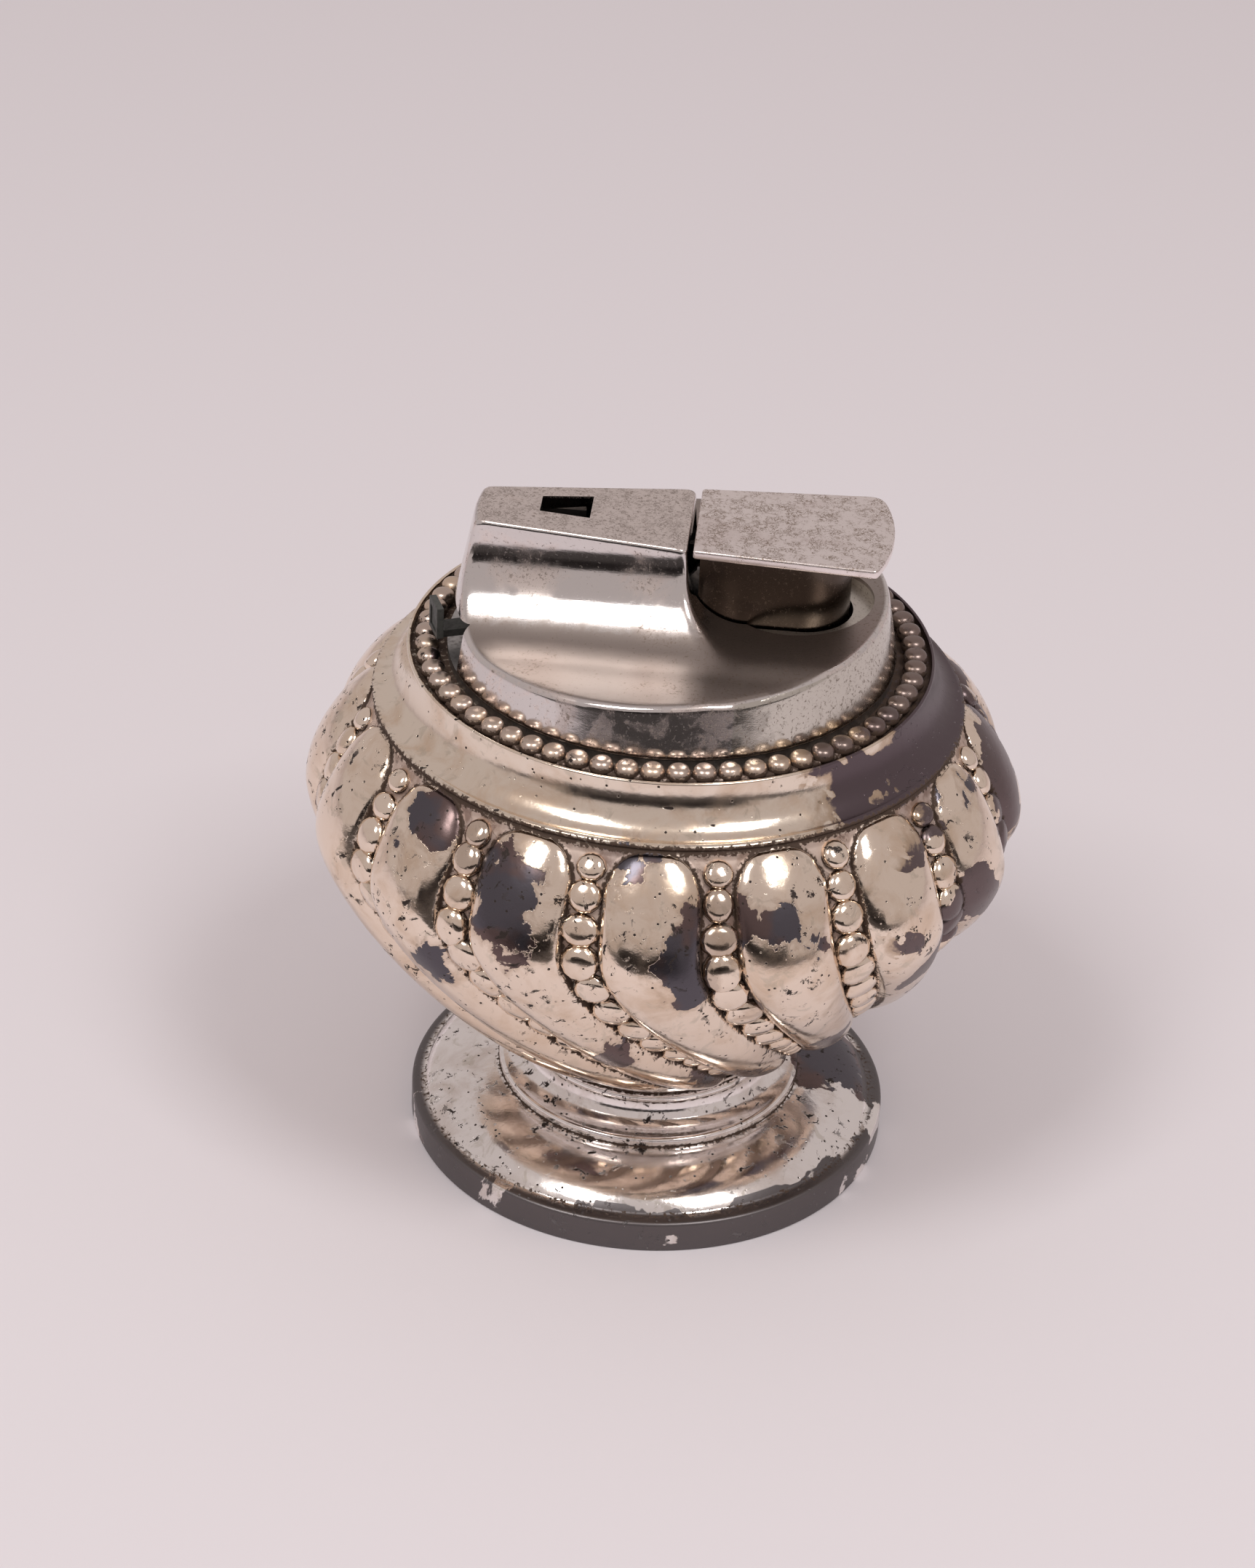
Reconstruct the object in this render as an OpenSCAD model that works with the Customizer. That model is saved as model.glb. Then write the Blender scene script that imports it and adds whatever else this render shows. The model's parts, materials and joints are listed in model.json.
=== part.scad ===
// Table lighter: a footed vessel with spiral gadroons, and the gas insert that lifts out of it.
// Millimetres. X runs along the bar towards the thumb lever, Z is up, and the foot stands on z = 0.

/* [Foot] */
// Radius of the foot
foot_r = 26; // [25:0.1:28]
// Height of the foot's upright side
foot_side_h = 3.5; // [3:0.1:4]
// Thickness of the spun metal of the foot
foot_wall = 1.2; // [0.9:0.1:1.5]
// Radius of the step where the neck rises from the foot's dome
step_r = 16.5; // [15.5:0.1:17.5]
// Height of the dome at the step
step_z = 6.4; // [6:0.1:6.8]
// Height of the step itself
step_h = 1.2; // [0.8:0.1:1.4]
// Least radius of the neck
neck_r = 13.3; // [12.5:0.1:13.9]
// Radius of the small ring round the neck
neck_bead_r = 0.55; // [0.4:0.05:0.6]
// Height of the foot's top, where the bowl sits
foot_h = 12.9; // [12.4:0.1:13.4]
// Radius of the seat between foot and bowl
seat_r = 14.6; // [14.2:0.1:15]
// Thickness of the felt under the foot
felt_t = 0.8; // [0.5:0.1:1]
// Width of the foot's rim outside the felt
felt_margin = 1.5; // [1:0.1:2]

/* [Foot fastening] */
// Radius of the stud through the bowl's floor
stud_r = 2; // [1.5:0.1:2.5]
// Radius of the stud's head
stud_head_r = 4; // [3:0.1:5]
// Height of the stud's head
stud_head_h = 1.5; // [1:0.1:2]
// Radius of the washer
washer_r = 5; // [4.5:0.1:6]
// Thickness of the washer
washer_t = 0.6; // [0.4:0.1:0.8]
// Width of the nut across its corners
nut_across = 7.8; // [7:0.1:9]
// Height of the nut
nut_h = 2.2; // [1.8:0.1:2.4]

/* [Bowl] */
// Largest radius of the bowl
bowl_r = 38; // [36:0.2:39]
// Share of the bowl's height that lies below its widest place
bowl_mid_share = 0.7041; // [0.68:0.0001:0.73]
// Radius of the seam under the collar
seam_r = 30.66; // [30:0.02:31.4]
// Thickness of the bowl's wall at the bottom of a groove
bowl_wall = 1; // [0.8:0.1:1.3]
// Thickness of the bowl's floor
bowl_floor = 1.8; // [1.4:0.1:2.2]
// Number of gadroons round the bowl
gadroons = 16; // [12:1:16]
// Depth of the grooves between the gadroons
groove_depth = 2.3; // [1.6:0.1:2.6]
// Length of the rounded top of a gadroon
gadroon_round = 4.5; // [3:0.1:6]
// Height over the widest place at which the gadroons begin to sweep sideways
sweep_lift = 4.4; // [2:0.2:6]
// Sweep in degrees for each square millimetre below that height
sweep_rate = 0.0458; // [0:0.001:0.05]
// Direction of the first bead column
column_a = 13.3; // [0:0.1:22]
// Number of beads in each column
column_beads = 12; // [8:1:12]
// Largest bead of a column
bead_big = 4.2; // [3.6:0.1:4.4]
// Smallest bead of a column
bead_small = 2.1; // [1.8:0.1:2.4]
// Place of the largest bead in its column
bead_peak = 4; // [3:1:5]
// Share of a bead's size that stands out of the groove
bead_rise = 0.42; // [0.3:0.01:0.5]
// Distance from the seam to the first bead
bead_start = 0.75; // [0.5:0.05:1.5]

/* [Collar] */
// Distance from the circle of rim beads out to the collar's top lip
lip_gap = 2.06; // [1.9:0.02:2.4]
// Height of the lip over the ledge
lip_h = 0.9; // [0.7:0.1:1.1]
// Width of the lip
lip_w = 0.4; // [0.3:0.05:0.6]
// Height from the seam up to the ledge that carries the beads and the insert
collar_rise = 4.74; // [4.4:0.02:5]
// Thickness of the collar's metal
collar_wall = 1; // [0.7:0.1:1.2]
// Height of the rounded edge over the seam
seam_edge = 0.6; // [0.4:0.1:0.8]
// Number of beads round the rim
rim_beads_n = 62; // [48:1:64]
// Direction of the first rim bead
rim_bead_a = 3.2; // [0:0.1:5.8]
// Distance from the casting's lower edge out to the circle of rim beads
bead_gap = 1.9; // [1.76:0.02:2.06]
// Radius of one rim bead
rim_bead_r = 1.12; // [1:0.01:1.14]
// Height of the wire that joins the rim beads
rim_wire_h = 0.6; // [0.4:0.1:0.8]

/* [Well] */
// Space between the tank and the wall of the well
well_gap = 1.2; // [1.1:0.1:1.4]
// Wall of the well cup
well_wall = 0.5; // [0.4:0.1:0.6]
// Height of the well's floor over the foot's top
well_floor_h = 14.1; // [13.1:0.1:14.5]

/* [Top casting] */
// How far the casting's lower edge stands out over the tank
cone_margin = 2.94; // [2.8:0.02:3.1]
// Inward lean of the casting's side, in mm for each mm of height
cone_lean = 0.186; // [0.15:0.002:0.21]
// Height of the whole lighter, at the top of bar and lever
top_z = 74.2; // [73:0.1:76]
// Height of the top casting
casting_h = 14.8; // [14.6:0.1:15]
// X of the bar's end at the lever
bar_end_x = 1.4; // [1:0.1:1.5]
// Half width of the bar at the lever
bar_half = 6.7; // [6.7:0.1:7]
// Narrowing of the bar towards its far end, in degrees to each side
bar_taper = 7.75; // [7:0.05:8]
// Radius of the long coves on both sides of the bar
cove_r = 9.3; // [8.6:0.1:9.4]
// Radius of the cove at the bar's end
end_cove_r = 6; // [5:0.1:6.5]
// Depth of the cove's floor below the bar's top, at the bar's end
bar_rise = 9.25; // [9:0.05:9.4]
// Rise of the cove's floor towards the lever, in degrees
floor_slope = 4.3; // [3.8:0.1:4.6]
// Thickness of the bar's walls
bar_wall = 1.3; // [1.1:0.05:1.3]
// Thickness of the bar's top
bar_roof = 1.4; // [1.1:0.1:1.6]
// Half width of the slot under the lever
slot_half = 5.4; // [5.4:0.1:5.6]
// X of the slot's round end
slot_end_x = 18.5; // [18:0.1:18.8]
// Centre of the flame window along the bar
window_x = -11.5; // [-11.8:0.1:-11.4]
// Length of the flame window
window_l = 5.2; // [4.4:0.1:5.4]
// Width of the flame window at its narrow end
window_w1 = 3.2; // [2.6:0.1:3.4]
// Width of the flame window at its wide end
window_w2 = 4.7; // [4:0.1:4.8]
// Distance of window and burner from the bar's centre line
burner_y = 0.75; // [0.4:0.05:0.8]
// Centre of the burner along the bar
burner_x = -12.1; // [-12.3:0.05:-12]
// Height of the notch for the adjuster's arm
notch_h = 5.2; // [3.8:0.1:5.4]
// Direction of the notch's middle, seen from the burner
notch_a = 186; // [184:0.5:188]
// Half the notch's opening, in degrees
notch_half_a = 43; // [40:0.5:48]

/* [Thumb lever] */
// X of the thumb plate's inner edge
plate_x0 = 2; // [1.8:0.1:2.3]
// X of the middle of the thumb plate's outer edge
plate_x1 = 22.1; // [21.4:0.1:22.4]
// Half width of the thumb plate at its inner edge
plate_half0 = 6.8; // [6.4:0.1:7]
// Half width of the thumb plate at its outer corners
plate_half1 = 8.1; // [7.6:0.1:8.4]
// Radius of the curved outer edge
plate_end_r = 22.1; // [18:0.1:26]
// Thickness of the thumb plate
plate_t = 1.3; // [1:0.1:1.4]
// Thickness of the lever's cheeks
cheek_t = 0.7; // [0.5:0.05:0.7]
// Depth of the lever's skirt below its top
skirt_drop = 9.6; // [8:0.1:9.8]
// Depth of the spring's seat below the lever's top
seat_drop = 4.8; // [4.6:0.1:5]
// X of the lever's pin
pivot_x = 3.6; // [3.5:0.05:3.7]
// Depth of the lever's pin below its top
pivot_drop = 5.2; // [5.1:0.05:5.3]
// Radius of the lever's pin
pin_r = 0.8; // [0.6:0.05:0.9]

/* [Ignition] */
// X of the spark wheel and the flint tube
wheel_x = -5.5; // [-5.6:0.05:-5.4]
// Depth of the spark wheel's axle below the bar's top
wheel_drop = 7.6; // [7.5:0.05:7.7]
// Radius of the spark wheel over its teeth
wheel_r = 3; // [2.9:0.02:3.04]
// Number of teeth on the spark wheel
wheel_teeth = 32; // [24:1:40]
// Radius of the ratchet over its teeth
ratchet_r = 2.3; // [2.1:0.05:2.35]
// Number of teeth on the ratchet
ratchet_teeth = 10; // [8:1:12]
// Radius of the wheel's axle
axle_r = 0.7; // [0.6:0.05:0.8]
// Outer radius of the flint tube
flint_tube_r = 1.9; // [1.8:0.05:1.9]
// Radius of the flint
flint_r = 1.25; // [1.2:0.01:1.3]
// Length of a fresh flint
flint_l = 4.6; // [3:0.1:5]
// Wire radius of the flint spring
flint_wire_r = 0.25; // [0.2:0.01:0.26]
// Curls of the flint spring
flint_curls = 12; // [8:1:12]

/* [Gas] */
// Radius of the fuel tank
tank_r = 20.5; // [19.8:0.1:20.6]
// Wall of the fuel tank
tank_wall = 0.7; // [0.5:0.05:0.9]
// Space under the tank in the well
tank_lift = 3.2; // [3:0.1:4]
// Thickness of the tank's base
base_t = 0.8; // [0.6:0.1:1]
// Space between the tank's top and the chassis plate
tank_gap = 1.3; // [1.2:0.1:1.6]
// Radius of the burner valve's body
valve_r = 2.4; // [2.2:0.05:2.45]
// Radius of the burner jet
jet_r = 1.25; // [1.1:0.05:1.3]
// Radius of the jet's collar
jet_collar_r = 2.3; // [2.25:0.05:2.35]
// Distance of the adjuster's tab from the burner
tab_reach = 12.9; // [12.8:0.1:13.4]
// Direction of the adjuster's tab as it stands
tab_a = 202; // [198:0.5:203]
// Width of the adjuster's tab
tab_w = 3.1; // [2.4:0.1:3.2]
// Height of the adjuster's tab over the casting's lower edge
tab_h = 5; // [3.6:0.1:5.6]
// Thickness of the adjuster's tab
tab_t = 0.7; // [0.5:0.05:0.8]
// Radius of the filler valve's body
filler_r = 2.6; // [2.4:0.1:3]
// X of the filler valve
filler_x = 9; // [7:0.5:12]
// Radius of the filler valve's stem
filler_stem_r = 0.85; // [0.7:0.05:0.9]

/* [Hidden] */
$fn = 64;

// Clearances and small sizes shared by several pieces.
run_gap = 0.05;
press_gap = 0.02;
side_gap = 0.3;
over = 1;
curve_steps = 10;

// Foot and its fastening.
felt_r = foot_r - felt_margin;
stud_hole_r = stud_r + 0.1;
felt_gap = 0.1;
foot_top_t = 1.5;

// Heights that hang from the top, and those that stand on the foot.
plate_t0 = 1;
casting_z0 = top_z - casting_h;
ledge_z = casting_z0 - plate_t0;
lip_z = ledge_z + lip_h;
seam_z = ledge_z - collar_rise;
bowl_mid_z = foot_h + bowl_mid_share * (seam_z - foot_h);
sweep_z = bowl_mid_z + sweep_lift;
floor_z = top_z - bar_rise;
hollow_top_z = casting_z0 + 2.9;
notch_top_z = casting_z0 + notch_h;
tab_z1 = casting_z0 + tab_h;
skirt_z = top_z - skirt_drop;
cheek_z = top_z - seat_drop;
pivot_z = top_z - pivot_drop;
wheel_z = top_z - wheel_drop;
well_floor_z = foot_h + well_floor_h;
tank_z0 = well_floor_z + tank_lift;

// Radii that follow the tank's.
well_r = tank_r + well_gap;
cup_r = well_r + well_wall;
cone_r = tank_r + cone_margin;
chassis_r = cone_r - 0.24;
rim_bead_ring_r = cone_r + bead_gap;
lip_r = rim_bead_ring_r + lip_gap;
rim_bead_z = ledge_z + rim_bead_r;
cone_edge = 0.3;
channel_end_x = 5.24 - cone_r;

// Lever, bracket and yoke planes across the lighter.
cheek_out = slot_half - side_gap;
ear_out = cheek_out - cheek_t - side_gap;
ear_t = 0.7;
yoke_out = ear_out - ear_t - side_gap;
yoke_t = 0.8;
yoke_in = yoke_out - yoke_t;
ratchet_out = yoke_in - 0.35;
ratchet_t = 0.9;
wheel_out = ratchet_out - ratchet_t;
wheel_t = 2.4;
pawl_t = 0.7;
pawl_pin_r = 0.3;

// Gas parts.
hub_r = 4;
hub_t = 2.2;
hub_z0 = casting_z0 + side_gap;
valve_z0 = ledge_z - 10.4;
valve_z1 = casting_z0 + 2.7;
jet_z0 = valve_z0 + 3;
collar_t = 0.6;
jet_collar_z = valve_z1 + 2.8;
jet_tip_z = jet_collar_z + 3.5;
shroud_z = jet_collar_z + 3.2;
jet_tip_r = 0.8;
tab_z0 = rim_bead_z + rim_bead_r + side_gap;
arm_z0 = hub_z0 + 1.1;
arm_t = 0.8;
arm_w = 2.2;
tank_z1 = ledge_z - tank_gap;
screw_r = 0.9;
screw_head_r = 1.7;
screw_depth = 3.4;
screw_ring_r = tank_r - 4.5;
screw_places = [for (a = [104.5, -104.5, 46.5, -46.5]) screw_ring_r * [cos(a), sin(a)]];
flint_top_z = wheel_z - wheel_r - 0.08;

// Quadratic and cubic curves through control points.
function curve2(a, b, c) = [
    for (i = [0:curve_steps])
        let (t = i / curve_steps)
            (1 - t) * (1 - t) * a + 2 * t * (1 - t) * b + t * t * c
];
function curve3(a, b, c, d, n) = [
    for (i = [0:n])
        let (t = i / n, s = 1 - t)
            s * s * s * a + 3 * s * s * t * b + 3 * s * t * t * c + t * t * t * d
];
// Points of an arc round a centre.
function arc(c, r, a0, a1, n) = [
    for (i = [0:n])
        let (a = a0 + (a1 - a0) * i / n)
            [c[0] + r * cos(a), c[1] + r * sin(a)]
];

// Crest line of the gadroons, from the seam down to the foot's seat.
crest_steps = 40;
crest_top = curve3(
    [seam_r, seam_z], [seam_r + 2.84, seam_z - 1.16],
    [bowl_r + 0.1, bowl_mid_z + 4.4], [bowl_r, bowl_mid_z], crest_steps);
crest_low = curve3(
    [bowl_r, bowl_mid_z], [bowl_r - 0.15, bowl_mid_z - 5.6],
    [seat_r + 11.4, foot_h + 6.1], [seat_r, foot_h], crest_steps);
crest = concat(crest_top, [for (i = [1:crest_steps]) crest_low[i]]);
crest_n = len(crest);
// Distance along the crest line at each of its points.
crest_s = [
    for (i = 0, s = 0; i < crest_n;
         s = s + (i + 1 < crest_n ? norm(crest[i + 1] - crest[i]) : 0), i = i + 1) s
];
crest_len = crest_s[crest_n - 1];
crest_r_of = [for (i = [0:crest_n - 1]) [crest_s[i], crest[i][0]]];
crest_z_of = [for (i = [0:crest_n - 1]) [crest_s[i], crest[i][1]]];
function crest_at(s) = [lookup(s, crest_r_of), lookup(s, crest_z_of)];
function crest_dir(s) =
    let (d = crest_at(min(s + 0.2, crest_len)) - crest_at(max(s - 0.2, 0)))
        d / norm(d);

// Size of bead k of a column, and the places along the crest where each bead begins.
bead_spread = 7.5;
function bead_d(k) =
    bead_small + (bead_big - bead_small)
        * (1 + cos(180 * min(abs(k - bead_peak) / bead_spread, 1))) / 2;
bead_from = [
    for (k = 0, s = bead_start; k <= column_beads; s = s + bead_d(k), k = k + 1) s
];
// Depth of the grooves at a distance along the crest: none at the seam, little at the seat.
fade_from = 20;
fade_share = 0.8;
function groove_at(s) =
    groove_depth * sqrt(1 - pow(max(0, 1 - s / gadroon_round), 2))
        * (1 - fade_share * pow(max(0, (s - fade_from) / (crest_len - fade_from)), 2));
function sweep_at(z) = sweep_rate * pow(max(0, sweep_z - z), 2);

// One row of the bowl's skin: its place along the crest, its bead's size, and how high the bead is.
bead_step = 1 / 3;
bead_shoulder = 0.92;
tail_rows = 3;
tail_from = bead_from[column_beads];
skin_rows = concat(
    [[0, bead_d(0), 0]],
    [
        for (k = [0:column_beads - 1], j = [0:2])
            [bead_from[k] + bead_d(k) * j * bead_step, bead_d(k), j == 0 ? 0 : bead_shoulder]
    ],
    [
        for (j = [0:tail_rows])
            [tail_from + (crest_len - tail_from) * j / tail_rows,
             bead_d(column_beads), 0]
    ]
);
// Columns of one gadroon and one groove: across a bead first, then over the gadroon.
bead_cols = [[-1, 0], [-0.55, 0.8], [0, 1], [0.55, 0.8]];
lobe_cols = [0, 0.12, 0.37, 0.63, 0.88];
bead_half_share = 0.54;
skin_cols = len(bead_cols) + len(lobe_cols);

// Point of the skin for a row, a gadroon and a column.
function skin_point(row, g, c) =
    let (
        s = row[0],
        p = crest_at(s),
        d = crest_dir(s),
        out = [-d[1], d[0]],
        half = bead_half_share * row[1],
        lobe_w = 2 * PI * p[0] / gadroons - 2 * half,
        f = c < len(bead_cols) ? 0 : lobe_cols[c - len(bead_cols)],
        across = c < len(bead_cols) ? bead_cols[c][0] * half : half + f * lobe_w,
        depth = groove_at(s),
        lobe_up = depth * sqrt(1 - pow(2 * f - 1, 2)),
        bead_up = min(depth, bead_rise * row[1] * row[2] * (c < len(bead_cols) ? bead_cols[c][1] : 0)),
        up = c < len(bead_cols) ? bead_up : lobe_up,
        q = p + out * (up - depth),
        a = column_a + 360 * g / gadroons + sweep_at(p[1]) + across / p[0] * 180 / PI
    )
        [q[0] * cos(a), q[0] * sin(a), q[1]];
function skin_flat(row, rim) =
    [
        for (g = [0:gadroons - 1], c = [0:skin_cols - 1])
            let (v = skin_point(row, g, c), a = atan2(v[1], v[0]))
                [rim[0] * cos(a), rim[0] * sin(a), rim[1]]
    ];

module bowl_skin() {
    n = gadroons * skin_cols;
    m = len(skin_rows);
    inner = [for (r = [1:m - 2], g = [0:gadroons - 1], c = [0:skin_cols - 1]) skin_point(skin_rows[r], g, c)];
    points = concat(
        skin_flat(skin_rows[0], [seam_r, seam_z]),
        inner,
        skin_flat(skin_rows[m - 1], [seat_r, foot_h])
    );
    sides = [
        for (r = [0:m - 2], k = [0:n - 1], h = [0, 1])
            let (a = r * n + k, b = r * n + (k + 1) % n, c = a + n, d = b + n)
                h == 0 ? [a, b, d] : [a, d, c]
    ];
    polyhedron(
        points = points,
        faces = concat(
            [[for (k = [n - 1:-1:0]) k]],
            sides,
            [[for (k = [0:n - 1]) (m - 1) * n + k]]
        )
    );
}

// Hollow of the bowl with the stud's hole through its floor.
module bowl_hollow() {
    floor_top = foot_h + bowl_floor;
    inset = groove_depth + bowl_wall;
    wall = [
        for (i = [crest_n - 1:-2:0])
            let (d = crest_dir(crest_s[i]), q = crest[i] - inset * [-d[1], d[0]])
                if (q[1] > floor_top + 0.4 && q[1] < seam_z - 1.5)
                    q
    ];
    rotate_extrude()
        polygon(concat(
            [
                [0, foot_h - over], [stud_hole_r, foot_h - over],
                [stud_hole_r, floor_top], [wall[0][0] - 1, floor_top]
            ],
            wall,
            [
                [seam_r - 2.6, seam_z - 1],
                [seam_r - 2.6, seam_z + over], [0, seam_z + over]
            ]
        ));
}

module gadrooned_bowl() {
    color("tan")
    difference() {
        bowl_skin();
        bowl_hollow();
    }
}

module foot() {
    round_edge = 0.3;
    dome_bend = 4;
    dome = curve2(
        [foot_r - 0.5, foot_side_h + 0.1], [foot_r - dome_bend, step_z - 0.1], [step_r + 0.3, step_z]);
    cavetto = curve2(
        [step_r - 0.7, step_z + step_h], [neck_r, step_z + step_h], [neck_r, foot_h - 2.6]);
    flare = curve2([neck_r, foot_h - 1.45], [neck_r, foot_h - 0.6], [seat_r, foot_h - 0.4]);
    inner_dome = curve2(
        [felt_r - foot_wall, foot_side_h - 1], [foot_r - dome_bend - foot_wall + 0.2, step_z - foot_wall - 0.2],
        [step_r - foot_wall, step_z - foot_wall]);
    inner_neck = curve2(
        [step_r - 1.6 - foot_wall, step_z + step_h - foot_wall],
        [neck_r - foot_wall, step_z + step_h - foot_wall],
        [neck_r - foot_wall, foot_h - 3]);
    color("wheat")
    rotate_extrude()
        polygon(concat(
            [[foot_r, 0], [foot_r, foot_side_h - round_edge], [foot_r - round_edge, foot_side_h]],
            dome,
            [[step_r, step_z + 0.2], [step_r, step_z + step_h - 0.3], [step_r - 0.3, step_z + step_h]],
            cavetto,
            arc([neck_r, foot_h - 2.025], neck_bead_r, -90, 90, 8),
            flare,
            [
                [seat_r, foot_h], [stud_hole_r, foot_h],
                [stud_hole_r, foot_h - foot_top_t], [neck_r - foot_wall, foot_h - foot_top_t]
            ],
            [for (i = [curve_steps:-1:0]) inner_neck[i]],
            [for (i = [curve_steps:-1:0]) inner_dome[i]],
            [[felt_r - foot_wall, felt_t], [felt_r + felt_gap, felt_t], [felt_r + felt_gap, 0]]
        ));
}

module felt_pad() {
    color("darkgreen")
    cylinder(r = felt_r, h = felt_t);
}

module foot_stud() {
    floor_top = foot_h + bowl_floor;
    tail = foot_top_t + washer_t + nut_h + 1;
    color("silver") {
        translate([0, 0, floor_top]) cylinder(r = stud_head_r, h = stud_head_h);
        translate([0, 0, foot_h - tail]) cylinder(r = stud_r, h = tail + bowl_floor + 0.1);
    }
}

module foot_washer() {
    color("gainsboro")
    translate([0, 0, foot_h - foot_top_t - washer_t])
    difference() {
        cylinder(r = washer_r, h = washer_t);
        translate([0, 0, -over]) cylinder(r = stud_hole_r, h = washer_t + 2 * over);
    }
}

module foot_nut() {
    color("goldenrod")
    translate([0, 0, foot_h - foot_top_t - washer_t - nut_h])
    difference() {
        cylinder(r = nut_across / 2, h = nut_h, $fn = 6);
        translate([0, 0, -over]) cylinder(r = stud_r + press_gap, h = nut_h + 2 * over);
    }
}

// Collar: a hollow sweep from the seam up to the lip, with the ledge inside the lip.
module collar() {
    top = lip_z - 0.4;
    foot_z = seam_z + seam_edge;
    sweep_out = [
        for (i = [0:curve_steps])
            let (a = 90 * i / curve_steps)
                [lip_r + (seam_r - lip_r) * (1 - sin(a)), foot_z + (top - foot_z) * (1 - cos(a))]
    ];
    sweep_in = [for (i = [curve_steps:-1:0]) sweep_out[i] - [0.8 * collar_wall, 0.5 * collar_wall]];
    under_z = ledge_z - collar_wall;
    bore_r = cup_r + run_gap;
    color("wheat")
    rotate_extrude()
        polygon(concat(
            [[seam_r - 2.2, seam_z], [seam_r, seam_z], [seam_r + 0.25, seam_z + 0.15],
             [seam_r + 0.25, seam_z + 0.4]],
            sweep_out,
            arc([lip_r - lip_w / 2, lip_z - lip_w / 2], lip_w / 2, 0, 180, 6),
            [[lip_r - lip_w, ledge_z], [bore_r, ledge_z], [bore_r, under_z],
             [lip_r - 0.8 * collar_wall, under_z]],
            [for (p = sweep_in) if (p[1] < under_z - 0.2 && p[1] > foot_z + 0.1) p],
            [[seam_r - 2.2, foot_z]]
        ));
}

module rim_beads() {
    color("tan") {
        translate([0, 0, ledge_z])
        difference() {
            cylinder(r = rim_bead_ring_r + 0.8, h = rim_wire_h);
            translate([0, 0, -over]) cylinder(r = rim_bead_ring_r - 0.8, h = rim_wire_h + 2 * over);
        }
        for (i = [0:rim_beads_n - 1])
            rotate([0, 0, rim_bead_a + 360 * i / rim_beads_n])
                translate([rim_bead_ring_r, 0, rim_bead_z])
                    sphere(r = rim_bead_r);
    }
}

module well_cup() {
    flange_w = 1.8;
    color("silver")
    rotate_extrude()
        polygon([
            [0, well_floor_z - well_wall], [cup_r, well_floor_z - well_wall],
            [cup_r, ledge_z - collar_wall - well_wall],
            [cup_r + flange_w, ledge_z - collar_wall - well_wall],
            [cup_r + flange_w, ledge_z - collar_wall], [cup_r, ledge_z - collar_wall],
            [cup_r, ledge_z], [well_r, ledge_z], [well_r, well_floor_z], [0, well_floor_z]
        ]);
}

// Half width of the bar at a place along it.
function bar_half_at(x) = bar_half - (bar_end_x - x) * tan(bar_taper);

module cone_solid() {
    rotate_extrude()
        polygon([
            [0, casting_z0], [cone_r - cone_edge, casting_z0], [cone_r, casting_z0 + cone_edge],
            [cone_r - cone_lean * (top_z - casting_z0 - cone_edge), top_z], [0, top_z]
        ]);
}

// Space above a cove of radius r whose wall stands on the X axis and whose floor lies at z = 0.
module cove_space(r) {
    far = 60;
    union() {
        translate([-far, -r, r]) rotate([0, 90, 0]) cylinder(r = r, h = 2 * far);
        translate([-far, -far, 0]) cube([2 * far, far - r, far]);
        translate([-far, -far, r]) cube([2 * far, far, far]);
    }
}

// The two long coves beside the bar and the cove at its end, on one sloping floor.
module cove_spaces() {
    end_shift = (top_z - floor_z) * tan(floor_slope);
    translate([bar_end_x, 0, floor_z])
    rotate([0, -floor_slope, 0]) {
        for (side = [0, 1])
            mirror([0, side, 0])
                translate([0, -bar_half, 0])
                    rotate([0, 0, -bar_taper])
                        cove_space(cove_r);
        translate([end_shift, 0, 0])
            rotate([0, 0, 90])
                cove_space(end_cove_r);
    }
}

// Stadium along X with its round end at x1, as a prism between two heights.
module stadium(half, x0, x1, z0, z1) {
    translate([0, 0, z0])
    linear_extrude(z1 - z0)
    union() {
        translate([x0, -half]) square([x1 - half - x0, 2 * half]);
        translate([x1 - half, 0]) circle(r = half);
    }
}

// Sector round the burner through which the adjuster's arm swings.
module notch_space() {
    far = 20;
    translate([burner_x, burner_y, casting_z0 - over])
    linear_extrude(notch_top_z - casting_z0 + over)
        polygon(concat([[0, 0]], arc([0, 0], far, notch_a - notch_half_a, notch_a + notch_half_a, 8)));
}

module top_casting() {
    boss_r = 2.1;
    hollow_r = cone_r - 1.5;
    x_wide = window_x + window_l / 2;
    x_narrow = window_x - window_l / 2;
    channel_run = 5;
    color("lightsteelblue")
    difference() {
        cone_solid();
        cove_spaces();
        difference() {
            translate([0, 0, casting_z0 - over])
                cylinder(r = hollow_r, h = hollow_top_z - casting_z0 + over);
            for (p = screw_places)
                translate([p[0], p[1], casting_z0 - 2 * over])
                    cylinder(r = boss_r, h = hollow_top_z);
        }
        translate([0, 0, casting_z0 - over])
        linear_extrude(top_z - bar_roof - casting_z0 + over)
            polygon([
                [channel_end_x, -bar_half_at(channel_end_x) + bar_wall],
                [bar_end_x, -bar_half + bar_wall],
                [bar_end_x + channel_run, -bar_half + bar_wall],
                [bar_end_x + channel_run, bar_half - bar_wall],
                [bar_end_x, bar_half - bar_wall],
                [channel_end_x, bar_half_at(channel_end_x) - bar_wall]
            ]);
        stadium(slot_half, bar_end_x, slot_end_x, casting_z0 - over, floor_z + end_cove_r);
        translate([0, 0, top_z - bar_roof - over])
        linear_extrude(bar_roof + 2 * over)
            polygon([
                [x_narrow, burner_y - window_w1 / 2], [x_wide, burner_y - window_w2 / 2],
                [x_wide, burner_y + window_w2 / 2], [x_narrow, burner_y + window_w1 / 2]
            ]);
        notch_space();
        for (p = screw_places)
            translate([p[0], p[1], casting_z0 - over])
                cylinder(r = screw_r + press_gap, h = screw_depth + over);
    }
}

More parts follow.
